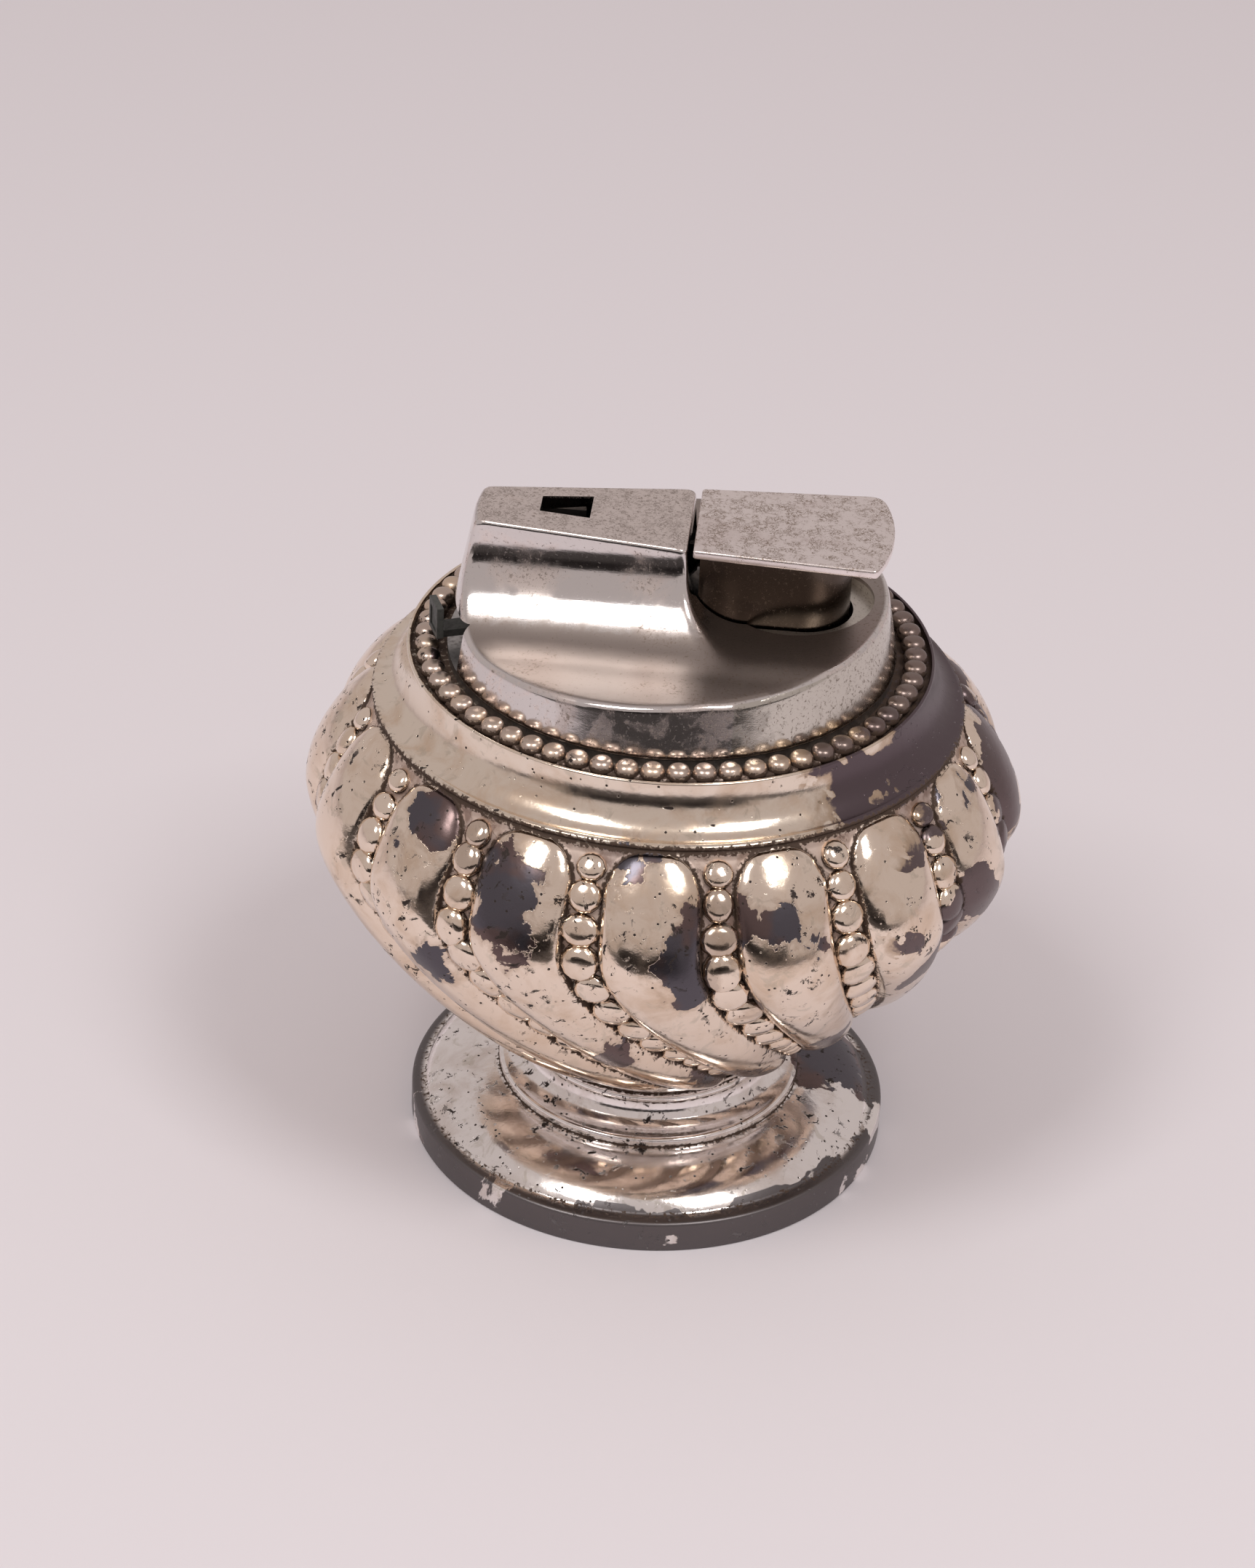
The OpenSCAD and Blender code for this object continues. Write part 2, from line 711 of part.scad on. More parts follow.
module chassis_plate() {
    color("silver")
    difference() {
        translate([0, 0, ledge_z]) cylinder(r = chassis_r, h = plate_t0);
        translate([wheel_x, 0, ledge_z - over])
            cylinder(r = flint_tube_r + run_gap, h = plate_t0 + 2 * over);
        translate([burner_x, burner_y, ledge_z - over])
            cylinder(r = valve_r + run_gap, h = plate_t0 + 2 * over);
        for (p = screw_places)
            translate([p[0], p[1], ledge_z - over])
                cylinder(r = screw_r + 0.1, h = plate_t0 + 2 * over);
    }
}

module chassis_screws() {
    head_h = 1;
    shank = plate_t0 + screw_depth - 0.4;
    color("gray")
    for (p = screw_places)
        translate([p[0], p[1], ledge_z])
        difference() {
            union() {
                translate([0, 0, -head_h]) cylinder(r = screw_head_r, h = head_h);
                translate([0, 0, -0.1]) cylinder(r = screw_r, h = shank + 0.1);
            }
            translate([-screw_head_r - over, -0.2, -head_h - over])
                cube([2 * (screw_head_r + over), 0.4, over + 0.5]);
        }
}

module fuel_tank() {
    seat_w = 1.6;
    base_top = tank_z0 + base_t;
    color("silver")
    difference() {
        rotate_extrude()
            polygon([
                [tank_r, base_top], [tank_r, ledge_z], [tank_r - seat_w, ledge_z],
                [tank_r - seat_w, tank_z1], [0, tank_z1], [0, tank_z1 - tank_wall],
                [tank_r - tank_wall, tank_z1 - tank_wall], [tank_r - tank_wall, base_top]
            ]);
        translate([wheel_x, 0, tank_z1 - tank_wall - over])
            cylinder(r = flint_tube_r + run_gap, h = tank_wall + 2 * over);
        translate([burner_x, burner_y, tank_z1 - tank_wall - over])
            cylinder(r = valve_r + run_gap, h = tank_wall + 2 * over);
    }
}

module tank_base() {
    color("silver")
    difference() {
        translate([0, 0, tank_z0]) cylinder(r = tank_r, h = base_t);
        translate([wheel_x, 0, tank_z0 - over])
            cylinder(r = flint_tube_r + run_gap, h = base_t + 2 * over);
        translate([filler_x, 0, tank_z0 - over])
            cylinder(r = filler_r + run_gap, h = base_t + 2 * over);
    }
}

// Rubber ring that grips the well when the insert is pushed home.
module grip_ring() {
    ring_z = ledge_z - 16.4;
    ring_h = 5;
    color("black")
    translate([0, 0, ring_z])
    difference() {
        cylinder(r = well_r - side_gap, h = ring_h);
        translate([0, 0, -over]) cylinder(r = tank_r + press_gap, h = ring_h + 2 * over);
    }
}

module burner_valve() {
    floor_t = 2;
    color("goldenrod")
    translate([burner_x, burner_y, valve_z0])
    difference() {
        cylinder(r = valve_r, h = valve_z1 - valve_z0);
        translate([0, 0, floor_t]) cylinder(r = jet_r + run_gap, h = valve_z1 - valve_z0);
    }
}

module burner_jet() {
    color("gold")
    translate([burner_x, burner_y, 0]) {
        translate([0, 0, jet_z0]) cylinder(r = jet_r, h = jet_collar_z + 1.1 - jet_z0);
        translate([0, 0, jet_collar_z]) cylinder(r = jet_collar_r, h = collar_t);
        translate([0, 0, jet_collar_z]) cylinder(r = jet_tip_r, h = jet_tip_z - jet_collar_z);
    }
}

// Helical wire as one closed tube: coil radius, wire radius, start height, pitch and curls.
ring_sides = 6;
rings_per_curl = 8;
function coil_points(coil_r, wire_r, pitch, curls) = [
    for (i = [0:rings_per_curl * curls], k = [0:ring_sides - 1])
        let (
            a = 360 * i / rings_per_curl,
            b = 360 * k / ring_sides,
            r = coil_r + wire_r * cos(b)
        )
            [r * cos(a), r * sin(a), pitch * i / rings_per_curl + wire_r * sin(b)]
];
module coil(coil_r, wire_r, pitch, curls) {
    n = ring_sides;
    m = rings_per_curl * curls;
    echo(coil_gap = pitch - 2 * wire_r);
    polyhedron(
        points = coil_points(coil_r, wire_r, pitch, curls),
        faces = concat(
            [for (k = [1:n - 2]) [0, k, k + 1]],
            [
                for (i = [0:m - 1], k = [0:n - 1], h = [0, 1])
                    let (a = i * n + k, b = i * n + (k + 1) % n, c = a + n, d = b + n)
                        h == 0 ? [a, c, d] : [a, d, b]
            ],
            [for (k = [1:n - 2]) [m * n, m * n + k + 1, m * n + k]]
        )
    );
}

module valve_spring() {
    wire_r = 0.2;
    curls = 2;
    room = shroud_z - jet_collar_z - collar_t - 2 * wire_r - 0.1;
    color("silver")
    translate([burner_x, burner_y, jet_collar_z + collar_t + wire_r + 0.05])
        coil(jet_r + 0.15 + wire_r, wire_r, room / curls, curls);
}

// Flame adjuster: a hub on the burner valve, an arm out through the notch and the finger tab.
module flame_adjuster() {
    mark_w = 0.7 * tab_w;
    mark_z0 = tab_z0 + 0.5;
    mark_h = tab_z1 - tab_z0 - 1.2;
    color("darkslategray")
    translate([burner_x, burner_y, 0])
    rotate([0, 0, tab_a])
    difference() {
        union() {
            translate([0, 0, hub_z0]) cylinder(r = hub_r, h = hub_t);
            translate([0, -arm_w / 2, arm_z0]) cube([tab_reach, arm_w, arm_t]);
            translate([tab_reach - tab_t / 2, -tab_w / 2, tab_z0])
                cube([tab_t, tab_w, tab_z1 - tab_z0]);
        }
        translate([0, 0, hub_z0 - over]) cylinder(r = valve_r + run_gap, h = hub_t + 2 * over);
        translate([tab_reach + tab_t / 2 - 0.15, -mark_w / 2, mark_z0])
            cube([over, mark_w, mark_h]);
    }
}

// Shroud under the flame window, open towards the spark wheel.
module flame_shroud() {
    shroud_wall = 0.4;
    half = 2.2;
    x0 = window_x - window_l / 2 - 0.5;
    x1 = arm_tip_x - side_gap;
    z1 = top_z - bar_roof;
    color("dimgray")
    difference() {
        translate([x0, burner_y - half, shroud_z]) cube([x1 - x0, 2 * half, z1 - shroud_z]);
        translate([x0 + shroud_wall, burner_y - half + shroud_wall, shroud_z + shroud_wall])
            cube([x1 - x0, 2 * (half - shroud_wall), z1 - shroud_z]);
        translate([burner_x, burner_y, shroud_z - over]) cylinder(r = jet_tip_r + side_gap, h = 3 * over);
    }
}

// Plate in the XZ plane, from y0 towards +Y.
module upright(y0, t) {
    translate([0, y0 + t, 0])
    rotate([90, 0, 0])
    linear_extrude(t)
        children();
}

module mechanism_bracket() {
    base_h = 0.8;
    base_l = 19;
    ear_back = 2.2;
    ear_front = 1.8;
    ear_x0 = wheel_x - ear_back;
    ear_x1 = pivot_x + ear_front;
    ear_low_z = wheel_z + 1.6;
    ear_top_z = pivot_z + 1.6;
    color("silver")
    difference() {
        union() {
            translate([ear_x0, -ear_out, casting_z0]) cube([base_l, 2 * ear_out, base_h]);
            for (y0 = [-ear_out, ear_out - ear_t])
                upright(y0, ear_t)
                    polygon([
                        [ear_x0, casting_z0], [ear_x1, casting_z0], [ear_x1, ear_top_z - 0.6],
                        [ear_x1 - 0.6, ear_top_z], [ear_x1 - 3, ear_top_z],
                        [ear_x1 - 5, ear_low_z], [ear_x0, ear_low_z]
                    ]);
        }
        translate([wheel_x, 0, casting_z0 - over])
            cylinder(r = flint_tube_r + run_gap, h = base_h + 2 * over);
        translate([wheel_x, 0, wheel_z]) rotate([90, 0, 0])
            cylinder(r = axle_r + press_gap, h = 4 * ear_out, center = true);
        translate([pivot_x, 0, pivot_z]) rotate([90, 0, 0])
            cylinder(r = pin_r + press_gap, h = 4 * ear_out, center = true);
    }
}

// Outline of a wheel with leaning teeth.
module toothed(r, teeth, depth, lean) {
    polygon([
        for (i = [0:teeth - 1], j = [0, 1])
            let (a = 360 * (i + lean * j) / teeth)
                [(r - depth * j) * cos(a), (r - depth * j) * sin(a)]
    ]);
}

module spark_wheel() {
    color("darkgray")
    translate([wheel_x, 0, wheel_z])
    difference() {
        upright(wheel_out - wheel_t, wheel_t) toothed(wheel_r, wheel_teeth, 0.25, 0.7);
        rotate([90, 0, 0]) cylinder(r = axle_r + run_gap, h = 20, center = true);
    }
}

module ratchet_wheel() {
    color("dimgray")
    translate([wheel_x, 0, wheel_z])
    difference() {
        upright(wheel_out, ratchet_t) toothed(ratchet_r, ratchet_teeth, 0.45, 0.15);
        rotate([90, 0, 0]) cylinder(r = axle_r + run_gap, h = 20, center = true);
    }
}

module wheel_axle() {
    color("silver")
    translate([wheel_x, 0, wheel_z])
    rotate([90, 0, 0])
        cylinder(r = axle_r, h = 2 * ear_out, center = true);
}

module flint_tube() {
    tube_z1 = hollow_top_z + 0.3;
    color("goldenrod")
    translate([wheel_x, 0, tank_z0])
    difference() {
        cylinder(r = flint_tube_r, h = tube_z1 - tank_z0);
        translate([0, 0, -over]) cylinder(r = flint_r + run_gap, h = tube_z1 - tank_z0 + 2 * over);
    }
}

module flint() {
    color("gray")
    translate([wheel_x, 0, flint_top_z - flint_l])
        cylinder(r = flint_r, h = flint_l);
}

flint_screw_l = 3.8;
module flint_spring() {
    z0 = tank_z0 + flint_screw_l + flint_wire_r + 0.05;
    z1 = flint_top_z - flint_l - flint_wire_r - 0.05;
    color("silver")
    translate([wheel_x, 0, z0])
        coil(flint_r - flint_wire_r - 0.05, flint_wire_r, (z1 - z0) / flint_curls, flint_curls);
}

module flint_screw() {
    head_h = 1.2;
    head_r = 3;
    color("goldenrod")
    translate([wheel_x, 0, tank_z0])
    difference() {
        union() {
            translate([0, 0, -head_h]) cylinder(r = head_r, h = head_h);
            translate([0, 0, -0.1]) cylinder(r = flint_r, h = flint_screw_l + 0.1);
        }
        translate([-head_r - over, -0.35, -head_h - over])
            cube([2 * (head_r + over), 0.7, over + 0.6]);
    }
}

// Outline of the thumb plate: straight sides that widen outwards, and one curved outer edge.
module plate_outline() {
    corner = 0.9;
    end_c = plate_x1 - plate_end_r;
    corner_a = asin((plate_half1 - corner) / plate_end_r);
    corner_x = end_c + plate_end_r * cos(corner_a);
    polygon(concat(
        [[plate_x0, -plate_half0], [corner_x - corner, -plate_half1]],
        arc([end_c, 0], plate_end_r, -corner_a, corner_a, 16),
        [[corner_x - corner, plate_half1], [plate_x0, plate_half0]]
    ));
}

// Plate, skirt down into the slot, and the seat of the lever's spring.
module thumb_lever() {
    tub_x0 = 7.2;
    tub_x1 = 13.6;
    skirt_x0 = plate_x0 + 0.7;
    skirt_x1 = slot_end_x - 0.4;
    plate_z = top_z - plate_t;
    color("lightsteelblue")
    difference() {
        union() {
            translate([0, 0, plate_z]) linear_extrude(plate_t) plate_outline();
            difference() {
                stadium(cheek_out, skirt_x0, skirt_x1, skirt_z, plate_z + 0.1);
                stadium(cheek_out - cheek_t, skirt_x0 - over, skirt_x1 - cheek_t, skirt_z - over, plate_z + 0.05);
            }
            translate([tub_x0, -cheek_out + 0.1, cheek_z])
                cube([tub_x1 - tub_x0, 2 * cheek_out - 0.2, cheek_t]);
        }
        translate([pivot_x, 0, pivot_z]) rotate([90, 0, 0])
            cylinder(r = pin_r + run_gap, h = 20, center = true);
    }
}

// Steel yoke under the thumb plate: the upper arm carries the pawl, the lower one lifts the jet.
arm_tip_x = wheel_x - 3.8;
pawl_x = wheel_x - 3.3;
pawl_pin_z = pivot_z + 0.6;
module lever_yoke() {
    lift_z0 = valve_z1 + 0.3;
    lift_t = 0.8;
    lift_x = burner_x - 1.2;
    eye_r = 1.8;
    plate_z = top_z - plate_t;
    color("slategray")
    difference() {
        union() {
            upright(yoke_in, yoke_t)
                union() {
                    translate([pivot_x, pivot_z]) circle(r = eye_r);
                    translate([pivot_x - 1, pivot_z]) square([2, plate_z - pivot_z]);
                    translate([arm_tip_x, pawl_pin_z - 0.4])
                        square([pivot_x - arm_tip_x, 0.8]);
                    translate([pivot_x - 0.8, lift_z0]) square([1.6, pivot_z - lift_z0]);
                    translate([lift_x, lift_z0]) square([pivot_x - lift_x, lift_t]);
                }
            upright(-yoke_out, yoke_t)
                union() {
                    translate([pivot_x, pivot_z]) circle(r = eye_r);
                    translate([pivot_x - 1, pivot_z]) square([2, plate_z - pivot_z]);
                }
            translate([pivot_x - 1, -yoke_out, plate_z - 0.8]) cube([2.6, 2 * yoke_out, 0.8]);
        }
        translate([pivot_x, 0, pivot_z]) rotate([90, 0, 0])
            cylinder(r = pin_r + run_gap, h = 20, center = true);
        translate([pawl_x, 0, pawl_pin_z]) rotate([90, 0, 0])
            cylinder(r = pawl_pin_r + press_gap, h = 20, center = true);
    }
}

module pawl() {
    reach = 3.9;
    color("dimgray")
    difference() {
        upright(yoke_in - pawl_t, pawl_t)
            polygon([
                [pawl_x - 0.5, pawl_pin_z + 0.5], [pawl_x + 0.5, pawl_pin_z + 0.5],
                [pawl_x + 0.5, pawl_pin_z - 1], [pawl_x + 0.2, pawl_pin_z - 1.6],
                [pawl_x + 0.6, pawl_pin_z - reach],
                [pawl_x - 0.1, pawl_pin_z - reach], [pawl_x - 0.5, pawl_pin_z - 1.2]
            ]);
        translate([pawl_x, 0, pawl_pin_z]) rotate([90, 0, 0])
            cylinder(r = pawl_pin_r + run_gap, h = 20, center = true);
    }
}

module pawl_pin() {
    color("silver")
    translate([pawl_x, yoke_in - pawl_t, pawl_pin_z])
    rotate([-90, 0, 0])
        cylinder(r = pawl_pin_r, h = pawl_t + yoke_t);
}

module lever_pin() {
    color("silver")
    translate([pivot_x, 0, pivot_z])
    rotate([90, 0, 0])
        cylinder(r = pin_r, h = 2 * cheek_out, center = true);
}

module lever_spring() {
    wire_r = 0.3;
    curls = 5;
    spring_reach = 5;
    z0 = casting_z0 + 0.8 + wire_r + 0.05;
    z1 = cheek_z - wire_r - 0.05;
    color("silver")
    translate([pivot_x + spring_reach, 0, z0])
        coil(1.6, wire_r, (z1 - z0) / curls, curls);
}

filler_flange_t = 0.8;
module filler_valve() {
    flange_r = 4;
    body_h = 8;
    mouth_r = 1.6;
    mouth_h = 1.5;
    color("goldenrod")
    translate([filler_x, 0, tank_z0])
    difference() {
        union() {
            translate([0, 0, -filler_flange_t]) cylinder(r = flange_r, h = filler_flange_t);
            cylinder(r = filler_r, h = body_h);
        }
        translate([0, 0, -filler_flange_t - over])
            cylinder(r = filler_stem_r + run_gap, h = body_h + over);
        translate([0, 0, -filler_flange_t - over]) cylinder(r = mouth_r, h = mouth_h + over);
    }
}

module filler_stem() {
    stem_l = 6;
    color("gold")
    translate([filler_x, 0, tank_z0 - filler_flange_t + 0.1])
        cylinder(r = filler_stem_r, h = stem_l);
}

foot();
felt_pad();
foot_stud();
foot_washer();
foot_nut();
gadrooned_bowl();
collar();
rim_beads();
well_cup();
top_casting();
chassis_plate();
chassis_screws();
fuel_tank();
tank_base();
grip_ring();
burner_valve();
burner_jet();
valve_spring();
flame_adjuster();
flame_shroud();
mechanism_bracket();
spark_wheel();
ratchet_wheel();
wheel_axle();
flint_tube();
flint();
flint_spring();
flint_screw();
thumb_lever();
lever_yoke();
lever_pin();
lever_spring();
pawl();
pawl_pin();
filler_valve();
filler_stem();
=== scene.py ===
"""Table lighter: a footed, gadrooned vessel in worn silver plate with its gas insert.

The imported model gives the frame. Sizes in this file are millimetres until a mesh is made.
"""

import json
import logging
import math
from collections.abc import Callable
from dataclasses import dataclass, field, replace
from enum import Enum

import bpy
import numpy as np
from mathutils import Matrix, Vector

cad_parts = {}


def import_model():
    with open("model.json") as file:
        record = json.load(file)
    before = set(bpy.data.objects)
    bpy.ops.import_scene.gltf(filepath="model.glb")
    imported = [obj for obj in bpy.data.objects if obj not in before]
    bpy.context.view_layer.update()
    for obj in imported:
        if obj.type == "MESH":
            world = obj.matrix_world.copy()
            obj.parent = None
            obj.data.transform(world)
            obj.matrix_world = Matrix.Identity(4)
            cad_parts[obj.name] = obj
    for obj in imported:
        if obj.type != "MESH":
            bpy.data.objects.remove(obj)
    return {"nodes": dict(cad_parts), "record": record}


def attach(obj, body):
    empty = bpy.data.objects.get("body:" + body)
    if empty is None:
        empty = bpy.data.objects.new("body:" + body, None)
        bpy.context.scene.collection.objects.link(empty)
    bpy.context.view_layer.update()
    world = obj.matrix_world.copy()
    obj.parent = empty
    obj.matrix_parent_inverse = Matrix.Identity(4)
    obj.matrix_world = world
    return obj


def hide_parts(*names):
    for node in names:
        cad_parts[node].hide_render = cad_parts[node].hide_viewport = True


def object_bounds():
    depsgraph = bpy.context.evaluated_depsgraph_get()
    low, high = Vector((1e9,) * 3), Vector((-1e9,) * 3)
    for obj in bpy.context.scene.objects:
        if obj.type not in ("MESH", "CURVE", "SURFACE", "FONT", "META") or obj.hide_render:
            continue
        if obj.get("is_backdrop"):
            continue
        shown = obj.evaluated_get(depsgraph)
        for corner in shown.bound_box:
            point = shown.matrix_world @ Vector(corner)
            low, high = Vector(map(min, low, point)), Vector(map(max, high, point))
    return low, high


LOG = logging.getLogger("table_lighter")
MM = 0.001
Colour = tuple[float, float, float]
Point = tuple[float, float, float]
Pair = tuple[float, float]
Socket = bpy.types.NodeSocket
Value = float | tuple[float, ...] | Socket
EVEN: Point = (1.0, 1.0, 1.0)

# How much the casting's cone narrows in one millimetre of height
CONE_LEAN = 0.186
# How much the coves' floor rises in one millimetre towards the lever, which is the tangent of 4.3 degrees
FLOOR_RISE = 0.0752
# Where the recess begins in the coves' floor on its way to the lever
RECESS_X = 7.6
# Height of the recess there, once the floor's rise is taken off
RECESS_TOP = 64.46


class Body(Enum):
    """Bodies of the frame that new pieces ride on."""

    VESSEL = "vessel"
    INSERT = "insert"
    LEVER = "lever"


class Axis(Enum):
    """Direction along which a block runs."""

    Y = 1
    Z = 2


# Mesh helpers


def smoothstep(x: np.ndarray, lo: float, hi: float) -> np.ndarray:
    """Smooth rise from 0 at lo to 1 at hi.

    Args:
        x: Values to map.
        lo: Where the rise starts.
        hi: Where the rise ends.

    Returns:
        Values 3t^2 - 2t^3 with t clamped to 0..1.
    """
    t = np.clip((x - lo) / (hi - lo), 0.0, 1.0)
    return t * t * (3.0 - 2.0 * t)


def grid_faces(rows: int, cols: int, wrap: bool, offset: int = 0) -> np.ndarray:
    """Quads of a grid of points numbered row by row.

    Args:
        rows: Number of rows.
        cols: Number of columns.
        wrap: True to join the last column to the first.
        offset: Number of the grid's first point.

    Returns:
        Array of quads, (n, 4).
    """
    i = np.arange(rows - 1)[:, None]
    j = np.arange(cols if wrap else cols - 1)[None, :]
    k = (j + 1) % cols
    here, below = i * cols, (i + 1) * cols
    quads = np.stack(np.broadcast_arrays(here + j, here + k, below + k, below + j), -1)
    return quads.reshape(-1, 4) + offset


def make_mesh(
    name: str,
    points: np.ndarray,
    quads: np.ndarray,
    extra: list[list[int]] | None = None,
    smooth: bool = True,
    attributes: dict[str, np.ndarray] | None = None,
) -> bpy.types.Object:
    """Puts points and faces into a new object at the origin.

    Args:
        name: Object name.
        points: Points in millimetres, (n, 3).
        quads: Quads, (m, 4).
        extra: Faces with any number of corners.
        smooth: True for smooth shading.
        attributes: Float values for each point, by name.

    Returns:
        The new object.
    """
    mesh = bpy.data.meshes.new(name)
    faces = [tuple(q) for q in quads.tolist()] + [tuple(f) for f in (extra or [])]
    mesh.from_pydata((points * MM).tolist(), [], faces)
    mesh.polygons.foreach_set("use_smooth", np.full(len(mesh.polygons), smooth))
    for key, values in (attributes or {}).items():
        layer = mesh.attributes.new(key, "FLOAT", "POINT")
        layer.data.foreach_set("value", np.asarray(values, np.float32).ravel())
    mesh.validate()
    mesh.update()
    obj = bpy.data.objects.new(name, mesh)
    bpy.context.scene.collection.objects.link(obj)
    return obj


def domes(
    name: str, points: np.ndarray, rows: int, cols: int, attributes: dict[str, np.ndarray]
) -> bpy.types.Object:
    """Skins many closed domes that are all drawn by the same number of rings.

    Args:
        name: Object name.
        points: Points of each dome, ring by ring from its base, (domes, rows * cols, 3).
        rows: Rings of one dome.
        cols: Points of one ring.
        attributes: Float values for each point, by name.

    Returns:
        The new object.
    """
    offset = (np.arange(len(points)) * rows * cols)[:, None]
    quads = grid_faces(rows, cols, True)[None] + offset[..., None]
    base, top = np.arange(cols)[::-1], (rows - 1) * cols + np.arange(cols)
    caps = np.concatenate([base + offset, top + offset])
    return make_mesh(name, points.reshape(-1, 3), quads.reshape(-1, 4), caps.tolist(), attributes=attributes)


def revolve(
    name: str,
    profile: np.ndarray,
    segments: int = 288,
    attributes: dict[str, np.ndarray] | None = None,
) -> bpy.types.Object:
    """Turns a closed profile about the Z axis.

    A point (r, z) becomes (r cos a, r sin a, z) for every angle a. The profile runs
    anticlockwise in (r, z), so that faces point outwards.

    Args:
        name: Object name.
        profile: Closed line of (r, z), without the first point repeated.
        segments: Number of steps round the axis.
        attributes: Float values for each profile point.

    Returns:
        The new object.
    """
    a = np.linspace(0.0, 2.0 * np.pi, segments, endpoint=False)
    n = len(profile)
    r, z = profile[:, 0][:, None], profile[:, 1][:, None]
    pts = np.stack([r * np.cos(a), r * np.sin(a), np.broadcast_to(z, (n, segments))], -1)
    quads = grid_faces(n, segments, True)
    last = np.arange(segments)
    nxt = (last + 1) % segments
    closing = np.stack([(n - 1) * segments + last, (n - 1) * segments + nxt, nxt, last], -1)
    quads = np.concatenate([quads, closing])[:, ::-1]
    attrs = {k: np.repeat(v, segments) for k, v in (attributes or {}).items()}
    return make_mesh(name, pts.reshape(-1, 3), quads, attributes=attrs)


def bezier(control: np.ndarray, steps: int) -> np.ndarray:
    """Points of a Bezier curve of degree two or three.

    Args:
        control: Three or four control points, (k, 2).
        steps: Number of equal steps in the curve's parameter.

    Returns:
        Points, (steps + 1, 2).
    """
    t = np.linspace(0.0, 1.0, steps + 1)[:, None]
    k = len(control) - 1
    return sum(math.comb(k, i) * (1 - t) ** (k - i) * t**i * control[i] for i in range(k + 1))


def unit_circle(angles: np.ndarray) -> np.ndarray:
    """Points (cos a, sin a) of the circle of radius 1, (n, 2)."""
    return np.stack([np.cos(angles), np.sin(angles)], -1)


def rounded(corners: list[tuple[float, float, float]], steps: int = 6) -> np.ndarray:
    """Closed outline whose corners are rounded by circular-like arcs.

    Each corner (x, y, r) is replaced by a quadratic curve between the points at
    distance r along its two edges.

    Args:
        corners: Corners with their setback.
        steps: Steps in each rounded corner.

    Returns:
        Points, (n, 2).
    """
    pts = np.array([c[:2] for c in corners])
    out = []
    for i, (_, _, r) in enumerate(corners):
        p, a, b = pts[i], pts[i - 1], pts[(i + 1) % len(pts)]
        if r <= 0:
            out.append(p[None])
            continue
        u, v = (a - p) / np.linalg.norm(a - p), (b - p) / np.linalg.norm(b - p)
        out.append(bezier(np.array([p + u * r, p, p + v * r]), steps))
    return np.concatenate(out)


def prism(name: str, outline: np.ndarray, low: float, high: float, axis: Axis = Axis.Z) -> bpy.types.Object:
    """Straight block on an outline.

    Args:
        name: Object name.
        outline: Anticlockwise outline in the plane across the axis, (n, 2).
        low: Where the block starts along the axis.
        high: Where it ends.
        axis: Axis.Y for a block on an (x, z) outline, Axis.Z for one on an (x, y) outline.

    Returns:
        The new object.
    """
    n = len(outline)
    rows = []
    for level in (low, high):
        row = np.zeros((n, 3))
        if axis is Axis.Z:
            row[:, :2], row[:, 2] = outline, level
        else:
            row[:, 0], row[:, 2], row[:, 1] = outline[:, 0], outline[:, 1], level
        rows.append(row)
    quads = grid_faces(2, n, True)
    caps = [list(range(n))[::-1], list(range(n, 2 * n))]
    if axis is Axis.Y:
        quads, caps = quads[:, ::-1], [c[::-1] for c in caps]
    return make_mesh(name, np.concatenate(rows), quads, caps, smooth=False)


def loft(name: str, rings: list[tuple[np.ndarray, float]], closed: bool = False) -> bpy.types.Object:
    """Skin over flat outlines at given heights.

    Args:
        name: Object name.
        rings: Anticlockwise outlines with as many points each, and their heights.
        closed: True to join the last ring to the first, False to fill both ends.

    Returns:
        The new object.
    """
    n, count = len(rings[0][0]), len(rings)
    pts = np.zeros((count, n, 3))
    for row, (outline, level) in zip(pts, rings):
        row[:, :2], row[:, 2] = outline, level
    quads = grid_faces(count, n, True)
    last = (count - 1) * n
    if not closed:
        caps = [list(range(n))[::-1], list(range(last, last + n))]
        return make_mesh(name, pts.reshape(-1, 3), quads, caps)
    i = np.arange(n)
    k = (i + 1) % n
    closing = np.stack([last + i, last + k, k, i], -1)
    return make_mesh(name, pts.reshape(-1, 3), np.concatenate([quads, closing]))


def pillow(
    name: str, outline_at: Callable[[float], np.ndarray], low: float, high: float, edge: float
) -> bpy.types.Object:
    """Flat plate along Z with rounded top and bottom edges.

    The outline is drawn in by edge * (1 - sin t) while the height moves by
    edge * (1 - cos t), so each edge is a quarter circle.

    Args:
        name: Object name.
        outline_at: Gives the outline drawn in by a distance.
        low: Height of the underside.
        high: Height of the top.
        edge: Radius of the rounded edges.

    Returns:
        The new object.
    """
    t = np.linspace(0.0, np.pi / 2, 6)
    inset, rise = edge * (1 - np.sin(t)), edge * (1 - np.cos(t))
    middle = outline_at(2.4 * edge)
    rings = [(middle, low)] + [(outline_at(i), low + r) for i, r in zip(inset, rise)]
    rings += [(outline_at(i), high - r) for i, r in zip(inset[::-1], rise[::-1])] + [(middle, high)]
    return loft(name, rings)


def cut(obj: bpy.types.Object, tool: bpy.types.Object) -> None:
    """Takes one closed mesh away from another and removes the tool.

    Args:
        obj: Mesh that is cut.
        tool: Mesh that is taken away.
    """
    mod = obj.modifiers.new("cut", "BOOLEAN")
    mod.operation = "DIFFERENCE"
    mod.solver = "EXACT"
    mod.object = tool
    apply_modifiers(obj)
    if not obj.data.polygons:
        raise ValueError(f"{tool.name} leaves nothing of {obj.name}")
    bpy.data.objects.remove(tool)


